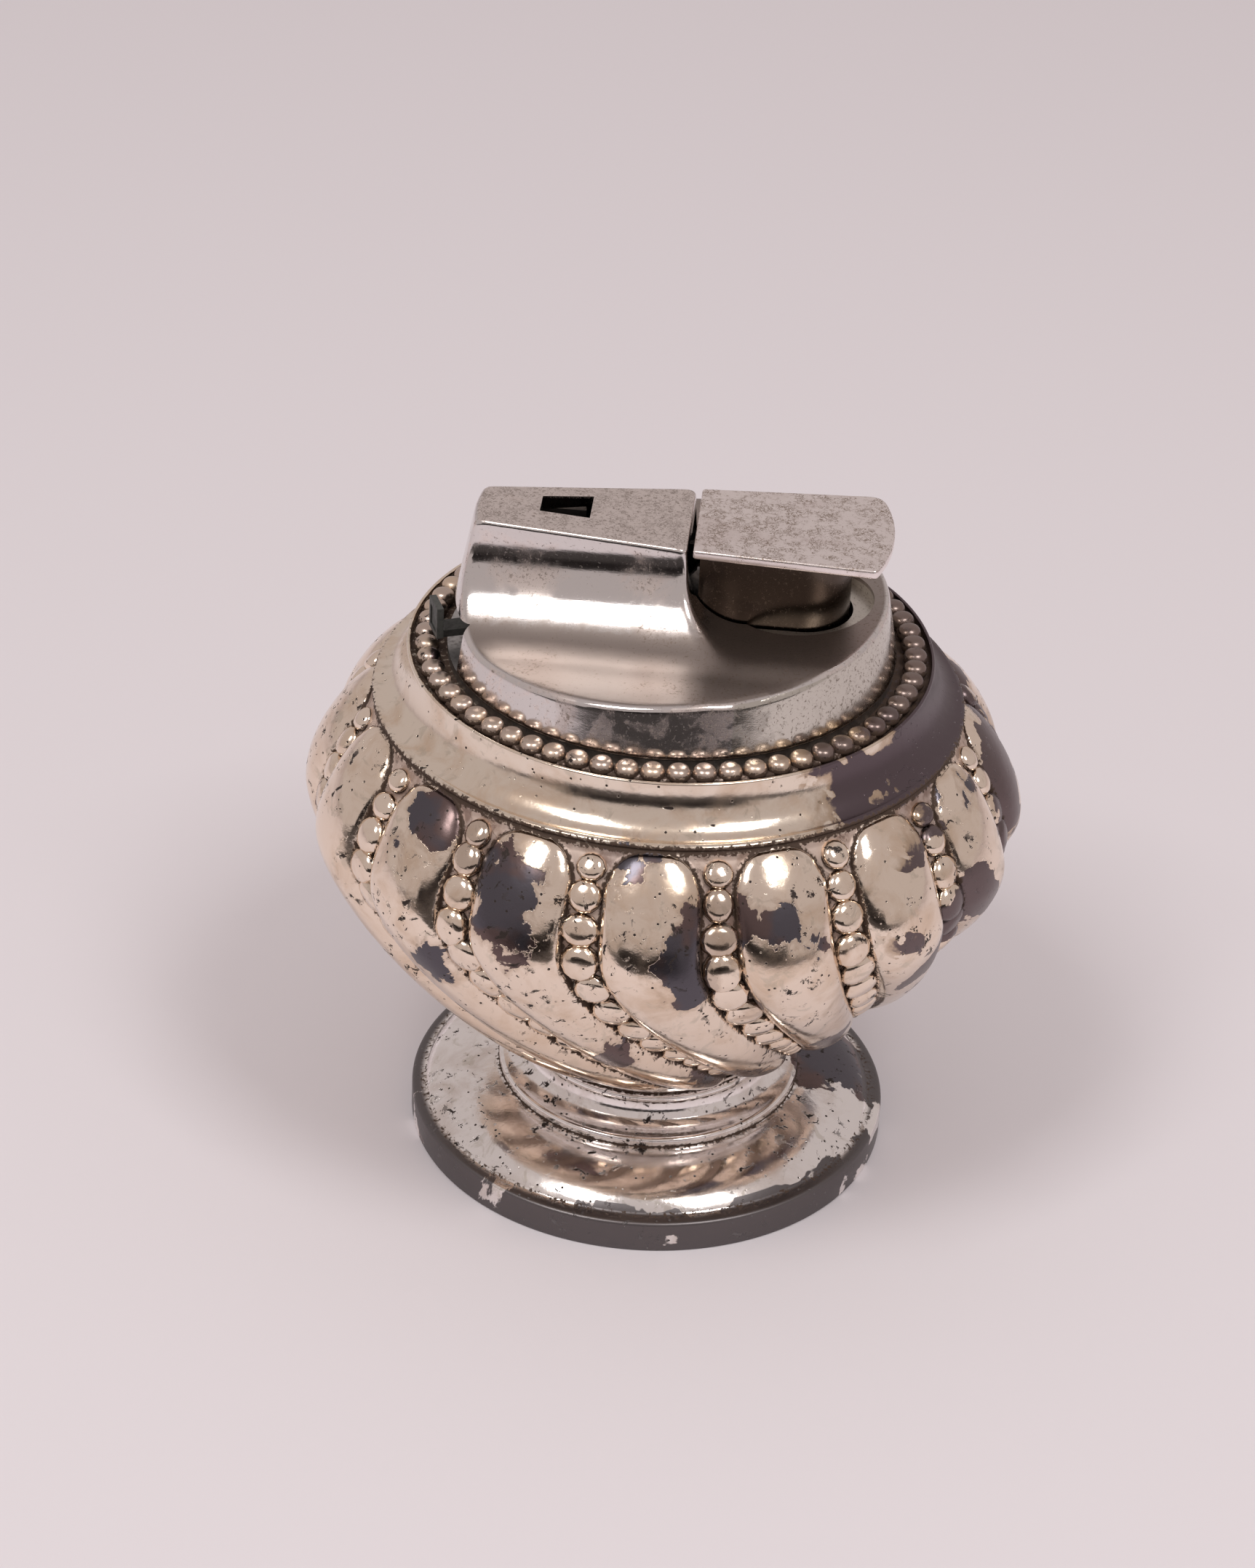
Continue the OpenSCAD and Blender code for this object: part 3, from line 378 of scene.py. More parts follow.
def apply_modifiers(obj: bpy.types.Object) -> None:
    """Replaces an object's mesh by the result of its modifiers.

    Args:
        obj: The object.
    """
    graph = bpy.context.evaluated_depsgraph_get()
    done = obj.evaluated_get(graph)
    mesh = bpy.data.meshes.new_from_object(done, preserve_all_data_layers=True, depsgraph=graph)
    obj.modifiers.clear()
    obj.data = mesh


def shade_by_angle(obj: bpy.types.Object, degrees: float) -> None:
    """Smooth shading with sharp edges where faces meet at more than an angle."""
    obj.data.polygons.foreach_set("use_smooth", np.ones(len(obj.data.polygons), bool))
    obj.data.set_sharp_from_angle(angle=math.radians(degrees))


# Finishes


@dataclass(frozen=True)
class Pattern:
    """Noise pattern on a surface.

    Attributes:
        scale: How many features to a millimetre.
        detail: Detail of the noise.
        rough: Roughness of the noise.
        warp: Distortion of the noise.
        shift: Where the pattern lies, in millimetres; None for the plain place.
        edge: Noise values where the pattern starts and where it is full; None leaves the noise as it is.
        full: Value where it is full, or factor for noise without an edge.
        stretch: Factor along each axis, for patterns that are drawn out.
    """

    scale: float
    detail: float = 4.0
    rough: float = 0.55
    warp: float = 0.0
    shift: Point | None = None
    edge: Pair | None = None
    full: float = 1.0
    stretch: Point = EVEN


# Patterns of the silver plate; noise has its middle at 0.5, which the edges allow for
RAGGED = Pattern(0.42, 6.0, 0.58, 0.5, (3.0, 9.0, 2.0), full=0.5)
SPARSE = Pattern(0.055, 2.0, 0.5, 0.0, (5.0, 2.0, 7.0), full=1.1)
SPOT_EDGE = Pattern(0.22, 6.0, 0.6, 0.3, full=9.0)
CLOUD = Pattern(0.22, 5.0, 0.6, 0.6, (1.0, 4.0, 8.0), (0.42, 0.74))
TINGE = Pattern(0.42, 5.0, 0.65, 0.8, (4.0, 1.0, 6.0), (0.56, 0.66), 0.4)
TONE = Pattern(0.13, 3.0, 0.5, 0.0, (6.0, 1.0, 2.0), (0.47, 0.55))
GRIME = Pattern(0.75, 6.0, 0.68, 0.6, (1.0, 8.0, 3.0), (0.53, 0.60), 0.55)
DARK_WOBBLE = Pattern(0.085, 3.0, 0.5, 0.4, (7.0, 3.0, 2.0), full=22.0)
DARK_TORN = Pattern(0.45, 6.0, 0.6, 0.3, (2.0, 6.0, 9.0), full=7.0)
DARK_SPARED = Pattern(0.11, 6.0, 0.50, 0.4, (8.0, 8.0, 1.0), (0.48, 0.50), 14.0)
CHIPPED = Pattern(0.07, 5.0, 0.5, 0.3, (7.0, 2.0, 8.0), (0.53, 0.59), 0.8)
MARGIN_KEPT = Pattern(0.12, 5.0, 0.6, 0.4, (2.0, 9.0, 4.0), (0.63, 0.65))
CRUMBS = Pattern(2.2, 4.0, 0.6)
SOIL = Pattern(0.5, 4.0, 0.6, edge=(0.42, 0.62))
WAVES = Pattern(0.3, 2.0, 0.5)
GRAIN = Pattern(1.9, 3.0, 0.6)
PIT_CROWD = Pattern(0.16, 3.0, 0.5, 0.0, (9.0, 2.0, 5.0), (0.46, 0.56))
PIT_FINE = Pattern(0.7, 7.0, 0.70, 0.5)
TINY_CROWD = Pattern(0.3, 2.0, edge=(0.47, 0.55))
DASH_CROWD = Pattern(0.4, 1.0, 0.5, 0.0, (5.0, 8.0, 3.0), (0.56, 0.58))
# Patterns of the chrome
STAINS = Pattern(0.15, 5.0, 0.6, 0.5, (5.0, 3.0, 9.0), (0.50, 0.66))
BLOTCH = Pattern(0.33, 6.0, 0.62, 0.4, (2.0, 5.0, 4.0), (0.48, 0.56), 0.85)
SPECKS = Pattern(3.0, 6.0, 0.74, 0.5)
WORMS = Pattern(1.7, 6.0, 0.75, 0.8)
WORM_CROWD = Pattern(0.6, 5.0, 0.7, 0.0, (3.0, 3.0, 3.0), (0.42, 0.56))
FILM_EDGE = Pattern(0.5, 5.0, 0.6, edge=(0.3, 0.7), full=0.7)
SCRATCHES = Pattern(1.0, 3.0, 0.7, 0.0, (0.0, 0.0, 0.0), stretch=(0.25, 5.0, 5.0))
DENTS = Pattern(0.2, 2.0)


class NodeGraph:
    """One material: its nodes, and the colour, roughness and metal share that coats are laid over."""

    def __init__(self, name: str, colour: Colour, rough: float, metallic: float = 1.0) -> None:
        """Starts a material with one shader.

        Args:
            name: Material name.
            colour: Colour of the bare surface.
            rough: Its roughness.
            metallic: Its metal share.
        """
        self.material = bpy.data.materials.new(name)
        self.material.use_nodes = True
        self.nodes = self.material.node_tree.nodes
        self.links = self.material.node_tree.links
        self.nodes.clear()
        self.colour: Colour | Socket = colour
        self.rough: float | Socket = rough
        self.metallic: float | Socket = metallic
        coords = self.nodes.new("ShaderNodeTexCoord")
        scale = {"Vector": coords.outputs["Object"], "Scale": (1.0 / MM,) * 3}
        self.place = self.node("Mapping", scale).outputs["Vector"]

    def node(self, kind: str, inputs: dict[str | int, Value], **settings: str | bool) -> bpy.types.Node:
        """Adds a node.

        Args:
            kind: Its type, without the first part that all types share.
            inputs: What goes into its inputs: outputs of other nodes, or plain values.
            settings: Values of its other properties.

        Returns:
            The new node.
        """
        node = self.nodes.new(f"ShaderNode{kind}")
        for key, value in settings.items():
            setattr(node, key, value)
        for key, value in inputs.items():
            if isinstance(value, Socket):
                self.links.new(value, node.inputs[key])
            else:
                node.inputs[key].default_value = value
        return node

    def shifted(self, offset: Point | None, scale: Point = EVEN) -> Socket:
        """Place in millimetres, moved and stretched.

        Args:
            offset: Distance it is moved by; None gives the plain place.
            scale: Factor along each axis.

        Returns:
            The place.
        """
        if offset is None:
            return self.place
        inputs = {"Vector": self.place, "Location": offset, "Scale": scale}
        return self.node("Mapping", inputs).outputs["Vector"]

    def noise(self, pattern: Pattern) -> Socket:
        """Value of a pattern; plain noise runs from about 0.3 to 0.7.

        Args:
            pattern: The pattern.

        Returns:
            Its value.
        """
        inputs = {"Vector": self.shifted(pattern.shift, pattern.stretch), "Scale": pattern.scale,
                  "Detail": pattern.detail, "Roughness": pattern.rough, "Distortion": pattern.warp}
        value = self.node("TexNoise", inputs).outputs["Fac"]
        if pattern.edge is not None:
            return self.step(value, *pattern.edge, pattern.full)
        return value if pattern.full == 1.0 else self.scaled(value, pattern.full)

    def cells(self, scale: float, offset: Point | None = None, stretch: Point = EVEN) -> Socket:
        """Distance to the nearest of many scattered points."""
        inputs = {"Vector": self.shifted(offset, stretch), "Scale": scale}
        return self.node("TexVoronoi", inputs).outputs["Distance"]

    def attribute(self, name: str) -> Socket:
        """Value that the mesh carries under a name."""
        return self.node("Attribute", {}, attribute_name=name).outputs["Fac"]

    def axis(self, index: int) -> Socket:
        """One coordinate of the place, in millimetres."""
        return self.node("SeparateXYZ", {0: self.place}).outputs[index]

    def step(self, value: Socket, lo: float, hi: float, out: float = 1.0) -> Socket:
        """Smooth rise between two values.

        Args:
            value: Value to map.
            lo: Where the rise starts; above hi it becomes a fall.
            hi: Where it ends.
            out: Height of the rise.

        Returns:
            A value from 0 to out.
        """
        ends = {"To Min": out, "To Max": 0.0} if lo > hi else {"To Min": 0.0, "To Max": out}
        inputs = {"Value": value, "From Min": min(lo, hi), "From Max": max(lo, hi), **ends}
        return self.node("MapRange", inputs, interpolation_type="SMOOTHSTEP").outputs["Result"]

    def math(self, kind: str, a: float | Socket, b: float | Socket, clamp: bool = True) -> Socket:
        """One sum of two values, kept within 0..1 if clamp is set."""
        return self.node("Math", {0: a, 1: b}, operation=kind, use_clamp=clamp).outputs[0]

    def product(self, a: float | Socket, b: float | Socket) -> Socket:
        """One value times another, kept within 0..1."""
        return self.math("MULTIPLY", a, b)

    def scaled(self, value: Socket, factor: float) -> Socket:
        """A value times a number, of any size."""
        return self.math("MULTIPLY", value, factor, clamp=False)

    def total(self, first: Socket, *others: Socket) -> Socket:
        """Adds values up.

        Args:
            first: One value.
            others: More values.

        Returns:
            Their sum, of any size.
        """
        for other in others:
            first = self.math("ADD", first, other, clamp=False)
        return first

    def minus(self, a: Socket, b: float | Socket) -> Socket:
        """One value less another, of any size."""
        return self.math("SUBTRACT", a, b, clamp=False)

    def most(self, a: Socket, b: Socket) -> Socket:
        """Larger of two values, kept within 0..1."""
        return self.math("MAXIMUM", a, b)

    def rest(self, value: Socket) -> Socket:
        """What a value leaves of 1."""
        return self.math("SUBTRACT", 1.0, value)

    def blend(self, fac: Socket, a: Colour | Socket, b: Colour | Socket) -> Socket:
        """Colour that goes from a to b as fac goes from 0 to 1."""
        a, b = ((*tone, 1.0) if isinstance(tone, tuple) else tone for tone in (a, b))
        return self.node("Mix", {0: fac, 6: a, 7: b}, data_type="RGBA").outputs[2]

    def mix(self, fac: Socket, a: float | Socket, b: float) -> Socket:
        """Number that goes from a to b as fac goes from 0 to 1."""
        return self.node("Mix", {0: fac, 2: a, 3: b}, data_type="FLOAT").outputs[0]

    def cover(
        self, where: Socket, colour: Colour | Socket | None = None, rough: float | None = None,
        metallic: float | None = None,
    ) -> None:
        """Lays a coat over the surface; None leaves the surface as it is.

        Args:
            where: 1 where the coat lies, 0 where it doesn't.
            colour: Colour of the coat.
            rough: Its roughness.
            metallic: Its metal share.
        """
        if colour is not None:
            self.colour = self.blend(where, self.colour, colour)
        if rough is not None:
            self.rough = self.mix(where, self.rough, rough)
        if metallic is not None:
            self.metallic = self.mix(where, self.metallic, metallic)

    def bump(self, height: Socket, depth: float, below: Socket | None = None) -> Socket:
        """Bends the normal by a height map.

        Args:
            height: Height map, 0 to 1.
            depth: Its depth in millimetres.
            below: Normal that is bent already.

        Returns:
            The bent normal.
        """
        inputs = {"Strength": 1.0, "Distance": depth * MM, "Height": height}
        if below is not None:
            inputs["Normal"] = below
        return self.node("Bump", inputs).outputs["Normal"]

    def finish(self, normal: Socket) -> bpy.types.Material:
        """Puts the shader on top of all the nodes.

        Args:
            normal: Bent normal of the surface.

        Returns:
            The finished material.
        """
        colour = (*self.colour, 1.0) if isinstance(self.colour, tuple) else self.colour
        shader = self.node("BsdfPrincipled", {"Base Color": colour, "Roughness": self.rough,
                                              "Metallic": self.metallic, "Normal": normal})
        self.node("OutputMaterial", {"Surface": shader.outputs[0]})
        return self.material


@dataclass(frozen=True)
class PlateFinish:
    """Worn silver plate: bright warm metal with dark bare patches, pits, stains and dirt in its crevices.

    The part from x = dark_from on is tarnished dark, and the margin under z = dark_below is darkened partly
    for wear and partly as painted shade on the foot's side by the floor; one spot is bare down to spot_r
    from its middle. Zero leaves each of them out.
    """

    name: str
    clean: Colour = (0.90, 0.765, 0.64)
    stain: Colour = (0.74, 0.58, 0.44)
    tinge: Colour = (0.50, 0.45, 0.36)
    halo: Colour = (0.50, 0.37, 0.27)
    grime: Colour = (0.20, 0.13, 0.085)
    bare: Colour = (0.15, 0.105, 0.10)
    bare_cold: Colour = (0.115, 0.105, 0.12)
    pit: Colour = (0.035, 0.024, 0.02)
    scorched: Colour = (0.46, 0.33, 0.22)
    dark: Colour = (0.13, 0.10, 0.11)
    margin: Colour = (0.15, 0.135, 0.135)
    ground: Colour = (0.56, 0.44, 0.38)
    soil: Colour = (0.34, 0.235, 0.19)
    crust: Colour = (0.075, 0.045, 0.03)
    gloss: float = 0.11
    patch_scale: float = 0.085
    patch_reach: float = 0.27
    patch_place: Point = (3.0, 7.0, 1.0)
    pit_cut: float = 0.59
    dark_from: float = 0.0
    dark_share: float = 1.0
    spared: float = 0.0
    low_stain: float = 0.0
    dark_below: float = 0.0
    dashes: bool = False
    waves: float = 0.07
    spot: Point = (0.0, 0.0, 0.0)
    spot_r: float = 0.0

    def build(self) -> bpy.types.Material:
        """Makes the material.

        Returns:
            The new material.
        """
        g = NodeGraph(self.name, self.clean, self.gloss)
        patch, halo = self.patches(g)
        pits = self.pits(g)
        g.cover(g.noise(CLOUD), self.stain, self.gloss + 0.12)
        g.cover(g.noise(TINGE), self.tinge)
        g.cover(g.step(g.axis(2), 40.0, 20.0, self.low_stain), self.stain)
        g.cover(g.product(halo, 0.4), self.halo)
        g.cover(g.product(g.noise(GRIME), g.step(g.attribute("crevice"), 0.02, 0.35)), self.grime)
        g.cover(patch, g.blend(g.noise(TONE), self.bare, self.bare_cold), 0.27)
        g.cover(pits, self.pit, 0.55, 0.5)
        if self.dark_from:
            self.darken(g)
        # Dark band round the foot's side and margin: worn metal, and painted shade where the side faces the
        # floor close to the foot.
        if self.dark_below:
            low = g.minus(g.axis(2), g.noise(CHIPPED))
            low = g.step(low, self.dark_below + 0.15, self.dark_below + 0.05)
            g.cover(g.math("SUBTRACT", low, g.noise(MARGIN_KEPT)), self.margin, 0.38)
        self.dirty(g)
        grain = g.bump(g.noise(GRAIN), 0.010, g.bump(g.noise(WAVES), self.waves))
        return g.finish(g.bump(g.rest(g.most(pits, g.product(patch, 0.6))), 0.05, grain))

    def patches(self, g: NodeGraph) -> tuple[Socket, Socket]:
        """Bare patches: ragged blobs, fewer on the beads, and the one spot if asked for.

        Args:
            g: Graph that the nodes go into.

        Returns:
            1 in a patch, and 1 in the brown halo round the blobs.
        """
        blob = g.total(g.cells(self.patch_scale, self.patch_place), g.noise(RAGGED), g.noise(SPARSE))
        reach = self.patch_reach + (RAGGED.full + SPARSE.full) / 2
        patch = g.product(g.step(blob, reach, reach - 0.015), g.rest(g.product(g.attribute("bead"), 0.85)))
        if self.spot_r:
            away = g.node("VectorMath", {0: g.place, 1: self.spot}, operation="DISTANCE")
            ragged = g.total(away.outputs["Value"], g.noise(SPOT_EDGE))
            edge = self.spot_r + SPOT_EDGE.full / 2
            patch = g.most(patch, g.step(ragged, edge + 0.2, edge))
        return patch, g.step(blob, reach + 0.07, reach)

    def darken(self, g: NodeGraph) -> None:
        """Tarnishes one side with a torn edge, scorched brown first, apart from some spared places.

        Args:
            g: Graph that the nodes go into.
        """
        place = g.total(g.axis(0), g.noise(DARK_WOBBLE), g.noise(DARK_TORN))
        place = g.minus(place, g.noise(replace(DARK_SPARED, full=DARK_SPARED.full * self.spared)))
        start = self.dark_from + (DARK_WOBBLE.full + DARK_TORN.full) / 2
        g.cover(g.step(place, start - 3.0, start - 0.4, 0.75 * self.dark_share), self.scorched)
        g.cover(g.step(place, start - 0.5, start + 0.6, self.dark_share), self.dark)
        g.cover(g.step(place, start - 0.5, start + 0.6), rough=0.30)

    def dirty(self, g: NodeGraph) -> None:
        """Lays dull dirt on the ground between the gadroons and a dark crust in the crevices.

        Args:
            g: Graph that the nodes go into.
        """
        crumbs = g.noise(CRUMBS)
        matte = g.step(g.total(g.attribute("hollow"), g.step(crumbs, 0.3, 0.7, 0.2)), 0.66, 0.88)
        crust = g.step(g.total(g.attribute("crevice"), g.step(crumbs, 0.35, 0.65, 0.55)), 0.62, 0.90)
        soil = g.blend(g.noise(SOIL), self.ground, self.soil)
        soil = g.blend(g.step(g.axis(2), 42.0, 30.0, 0.8), soil, self.grime)
        g.cover(g.product(matte, 0.85), soil)
        g.cover(matte, rough=0.50, metallic=0.6)
        g.cover(crust, self.crust, 0.75, 0.15)

    def pits(self, g: NodeGraph) -> Socket:
        """Pits in clusters, tiny round ones between them and, if asked for, short scratches.

        Args:
            g: Graph that the nodes go into.

        Returns:
            1 in a pit, 0 outside.
        """
        pits = g.product(g.step(g.noise(PIT_FINE), self.pit_cut, self.pit_cut + 0.02), g.noise(PIT_CROWD))
        pits = g.most(pits, g.product(g.step(g.cells(1.0), 0.16, 0.11), g.noise(TINY_CROWD)))
        if self.dashes:
            thin = g.step(g.cells(0.36, (0.0, 0.0, 0.0), (0.45, 2.0, 2.2)), 0.14, 0.11)
            pits = g.most(pits, g.product(thin, g.noise(DASH_CROWD)))
        return pits


@dataclass(frozen=True)
class ChromeFinish:
    """Polished plated casting with taupe stains, specks and fine scratches.

    It is dull above z = dull_above, blotchy outside a cone of radius dull_outside at z = 0 and
    filmed inside it below z = film_below at x = 0. Zero leaves each of them out.
    """

    name: str
    clean: Colour = (0.72, 0.68, 0.66)
    dull: Colour = (0.50, 0.42, 0.37)
    speck: Colour = (0.20, 0.155, 0.125)
    film: Colour = (0.30, 0.25, 0.222)
    recess: Colour = (0.62, 0.58, 0.52)
    gloss: float = 0.10
    haze: float = 0.08
    dull_above: float = 0.0
    dull_outside: float = 0.0
    film_below: float = 0.0
    speck_cut: float = 0.57
    speck_share: float = 0.7
    worms: bool = False
    worms_above: float = 73.85

    def build(self) -> bpy.types.Material:
        """Makes the material.

        Returns:
            The new material.
        """
        g = NodeGraph(self.name, self.clean, self.gloss)
        dull = g.noise(STAINS)
        if self.dull_above:
            dull = g.most(dull, g.step(g.axis(2), self.dull_above - 0.15, self.dull_above, 0.85))
        if self.dull_outside:
            blotch = g.step(self.cone_reach(g), self.dull_outside - 0.25, self.dull_outside - 0.1)
            dull = g.most(dull, g.product(g.noise(BLOTCH), blotch))
        g.cover(dull, self.dull, self.gloss + self.haze)
        specks = self.specks(g, dull)
        if self.film_below:
            self.lay_film(g)
        g.cover(g.product(specks, self.speck_share), self.speck)
        g.cover(specks, rough=0.45)
        return g.finish(g.bump(g.noise(SCRATCHES), 0.003, g.bump(g.noise(DENTS), 0.04)))

    def cone_reach(self, g: NodeGraph) -> Socket:
        """Distance from the Z axis, carried down along the casting's cone to z = 0.

        Args:
            g: Graph that the nodes go into.

        Returns:
            The distance in millimetres.
        """
        flat = {0: g.shifted((0.0, 0.0, 0.0), (1.0, 1.0, 0.0))}
        away = g.node("VectorMath", flat, operation="LENGTH")
        return g.total(away.outputs["Value"], g.scaled(g.axis(2), CONE_LEAN))

    def specks(self, g: NodeGraph, dull: Socket) -> Socket:
        """Fine specks, more of them where the metal is dull and to the right, and worm-like stains.

        Args:
            g: Graph that the nodes go into.
            dull: 1 where the metal is dull.

        Returns:
            1 in a speck or a worm.
        """
        lift = g.product(g.most(dull, g.step(g.axis(0), -6.0, 6.0, 0.6)), 0.08)
        specks = g.step(g.total(g.noise(SPECKS), lift), self.speck_cut + 0.05, self.speck_cut + 0.12)
        if self.worms:
            ridge = g.math("ABSOLUTE", g.minus(g.noise(WORMS), 0.5), 0.0, clamp=False)
            high = g.step(g.axis(2), self.worms_above, self.worms_above + 0.2)
            worms = g.product(g.step(ridge, 0.030, 0.018), g.product(g.noise(WORM_CROWD), high))
            specks = g.most(specks, worms)
        return specks

    def lay_film(self, g: NodeGraph) -> None:
        """Lays the grey film in the coves, and the paler tone of the recess in their floor.

        Args:
            g: Graph that the nodes go into.
        """
        high = g.minus(g.axis(2), g.scaled(g.axis(0), FLOOR_RISE))
        film = g.step(g.minus(high, g.noise(FILM_EDGE)), self.film_below + 0.7, self.film_below - 0.5, 0.92)
        inside = g.step(self.cone_reach(g), self.dull_outside - 0.25, self.dull_outside - 0.6)
        g.cover(g.product(film, inside), self.film, 0.36)
        behind = g.step(g.axis(0), RECESS_X - 0.1, RECESS_X + 0.1)
        recess = g.product(g.step(high, RECESS_TOP, RECESS_TOP - 0.06), behind)
        g.cover(recess, self.recess)


@dataclass(frozen=True)
class PlainFinish:
    """One colour with a little uneven roughness."""

    name: str
    colour: Colour
    metallic: float
    roughness: float
    grain: float = 0.01
    grain_scale: float = 2.0

    def build(self) -> bpy.types.Material:
        """Makes the material.

        Returns:
            The new material.
        """
        g = NodeGraph(self.name, self.colour, self.roughness, self.metallic)
        n = g.noise(Pattern(self.grain_scale, 4.0, 0.6))
        dim = tuple(0.6 * c for c in self.colour)
        g.cover(g.step(n, 0.45, 0.75), dim)
        g.cover(g.step(n, 0.3, 0.7), rough=min(1.0, self.roughness + 0.15))
        return g.finish(g.bump(n, self.grain))


def dress(obj: bpy.types.Object, material: bpy.types.Material) -> None:
    """Gives an object one material on all its faces.

    Args:
        obj: The object.
        material: Its new material.
    """
    obj.data.materials.clear()
    obj.data.materials.append(material)
    obj.data.polygons.foreach_set("material_index", np.zeros(len(obj.data.polygons), np.int32))


def settle(obj: bpy.types.Object, material: bpy.types.Material, body: Body, node: str) -> None:
    """Dresses a new piece and puts it in the place of a node.

    Args:
        obj: The piece.
        material: Its material.
        body: Body that carries it.
        node: Node that it stands for.
    """
    dress(obj, material)
    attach(obj, body.value)
    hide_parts(node)
    LOG.info("%s: %d faces", obj.name, len(obj.data.polygons))


# Vessel


@dataclass
class Bowl:
    """Gadrooned bowl: sixteen spiral gadroons with a column of beads between each two."""

    material: bpy.types.Material
    seam_r: float = 30.66
    seam_z: float = 53.66
    widest_r: float = 37.9
    widest_z: float = 41.6
    seat_r: float = 14.6
    seat_z: float = 12.9
    lobes: int = 16
    lobe_power: float = 2.2
    depth: tuple[Pair, ...] = ((0.0, 0.0), (0.8, 0.7), (3.0, 1.4), (8.0, 2.0), (12.0, 2.3))
    fade_from: float = 20.0
    fade_share: float = 0.8
    top_round: float = 4.8
    top_band: float = 0.15
    sweep_z: float = 46.0
    sweep_rate: float = 0.0458
    column_a: float = 13.3
    beads: int = 12
    bead_big: float = 4.2
    bead_small: float = 2.1
    bead_biggest: int = 4
    bead_fade: float = 7.5
    bead_start: float = 0.75
    bead_sides: int = 12
    bead_sunk: float = 0.12
    bead_section: tuple[Pair, ...] = ((1.0, 0.0), (0.97, 0.42), (0.80, 0.80), (0.50, 0.96), (0.14, 1.0))
    inner_wall: float = 3.3
    inner_floor: float = 1.9
    inner_neck_r: float = 28.1
    stud_hole_r: float = 2.2
    crest: np.ndarray = field(init=False)
    arc: np.ndarray = field(init=False)

    def __post_init__(self) -> None:
        """Works out the crest line and the distance along it."""
        seam, widest, seat = np.array([[self.seam_r, self.seam_z], [self.widest_r, self.widest_z],
                                       [self.seat_r, self.seat_z]])
        upper = bezier(np.array([seam, seam + [2.84, -1.16], widest + [0.1, 4.4], widest]), 400)
        lower = bezier(np.array([widest, widest + [-0.15, -5.6], seat + [11.4, 6.1], seat]), 400)
        self.crest = np.concatenate([upper, lower[1:]])
        steps = np.linalg.norm(np.diff(self.crest, axis=0), axis=1)
        self.arc = np.concatenate([[0.0], np.cumsum(steps)])

    def at(self, s: np.ndarray) -> tuple[np.ndarray, np.ndarray, np.ndarray, np.ndarray]:
        """Crest point and outward direction at distances along the crest.

        Args:
            s: Distances from the seam.

        Returns:
            Radius, height, and the two parts of the outward unit normal.
        """
        near, total = 0.15, self.arc[-1]
        r, z = (np.interp(s, self.arc, line) for line in self.crest.T)
        dr, dz = (
            np.interp(np.clip(s + near, 0, total), self.arc, line)
            - np.interp(np.clip(s - near, 0, total), self.arc, line)
            for line in self.crest.T
        )
        size = np.hypot(dr, dz)
        return r, z, -dz / size, dr / size

    def bead_sizes(self) -> np.ndarray:
        """Diameter of each bead of a column, along the crest."""
        away = np.minimum(np.abs(np.arange(self.beads + 1) - self.bead_biggest) / self.bead_fade, 1)
        return self.bead_small + (self.bead_big - self.bead_small) * (1 + np.cos(np.pi * away)) / 2

    def groove(self, s: np.ndarray) -> np.ndarray:
        """Depth of the ground below the crest: it grows as depth says and fades by a square past fade_from.

        Args:
            s: Distances from the seam.

        Returns:
            Depths in millimetres.
        """
        at, deep = np.array(self.depth).T
        past = np.maximum(0, (s - self.fade_from) / (self.arc[-1] - self.fade_from))
        return np.interp(s, at, deep) * (1 - self.fade_share * past**2)

    def turn(self, z: np.ndarray) -> np.ndarray:
        """Angle, in radians, by which the gadroons have swept; it grows by a square below sweep_z."""
        return np.radians(self.sweep_rate * np.maximum(0, self.sweep_z - z) ** 2)

    def build(self) -> list[bpy.types.Object]:
        """Makes the bowl's skin and its beads.

        Returns:
            The two new objects.
        """
        return [self.skin(), self.bead_columns()]

    def skin(self) -> bpy.types.Object:
        """Makes the gadroons and the ground between them.

        Across one gadroon the surface is a dome, height = depth * (1 - |u/w|^lobe_power)^(1/2),
        where w is its half width, which grows from nothing along a quarter ellipse over
        top_round below the seam. Rows stand closest by the seam, where the gadroons open. The
        inside is a plain wall.

        Returns:
            The new object.
        """
        s = np.concatenate([np.linspace(0, 1.0, 6)[:-1], 1.0 + 6.0 * np.linspace(0, 1, 34)[:-1] ** 1.25,
                            np.linspace(7.0, self.arc[-1], 92)])
        sizes = self.bead_sizes()
        d = np.interp(s, np.cumsum(sizes) + self.bead_start - sizes / 2, sizes)
        r, z, nr, nz = self.at(s)
        pitch = 2 * np.pi * r / self.lobes
        wide = pitch / 2 - 0.49 * d * smoothstep(s, -2.0, 3.0)
        grow = np.sqrt(np.clip(1 - np.maximum(0, 1 - (s - self.top_band) / self.top_round) ** 2, 0, 1))
        w = np.maximum(wide * np.where(s < self.top_band, 0, grow), 0.02)
        ground_f = np.linspace(-1, 1, 9)[1:-1]
        lobe_f = np.sin(np.linspace(-np.pi / 2, np.pi / 2, 29))
        half_ground = pitch / 2 - w
        u_lobe = w[:, None] * lobe_f[None, :]
        u_ground = pitch[:, None] / 2 + half_ground[:, None] * ground_f[None, :]
        u = np.concatenate([u_lobe, u_ground], 1)
        dome = np.broadcast_to((1 - np.abs(lobe_f) ** self.lobe_power) ** 0.5, u_lobe.shape)
        dome = np.concatenate([dome, np.zeros_like(u_ground)], 1)
        dome = dome * smoothstep(s, self.top_band, self.top_band + 0.8)[:, None]
        sink = self.groove(s)[:, None] * (1 - dome)
        lobe_centre = np.radians(self.column_a) + 2 * np.pi * (np.arange(self.lobes) + 0.5) / self.lobes
        ang = lobe_centre[None, :, None] + (u / r[:, None])[:, None, :] + self.turn(z)[:, None, None]
        rad = np.broadcast_to((r[:, None] - nr[:, None] * sink)[:, None, :], ang.shape)
        hgt = np.broadcast_to((z[:, None] - nz[:, None] * sink)[:, None, :], ang.shape)
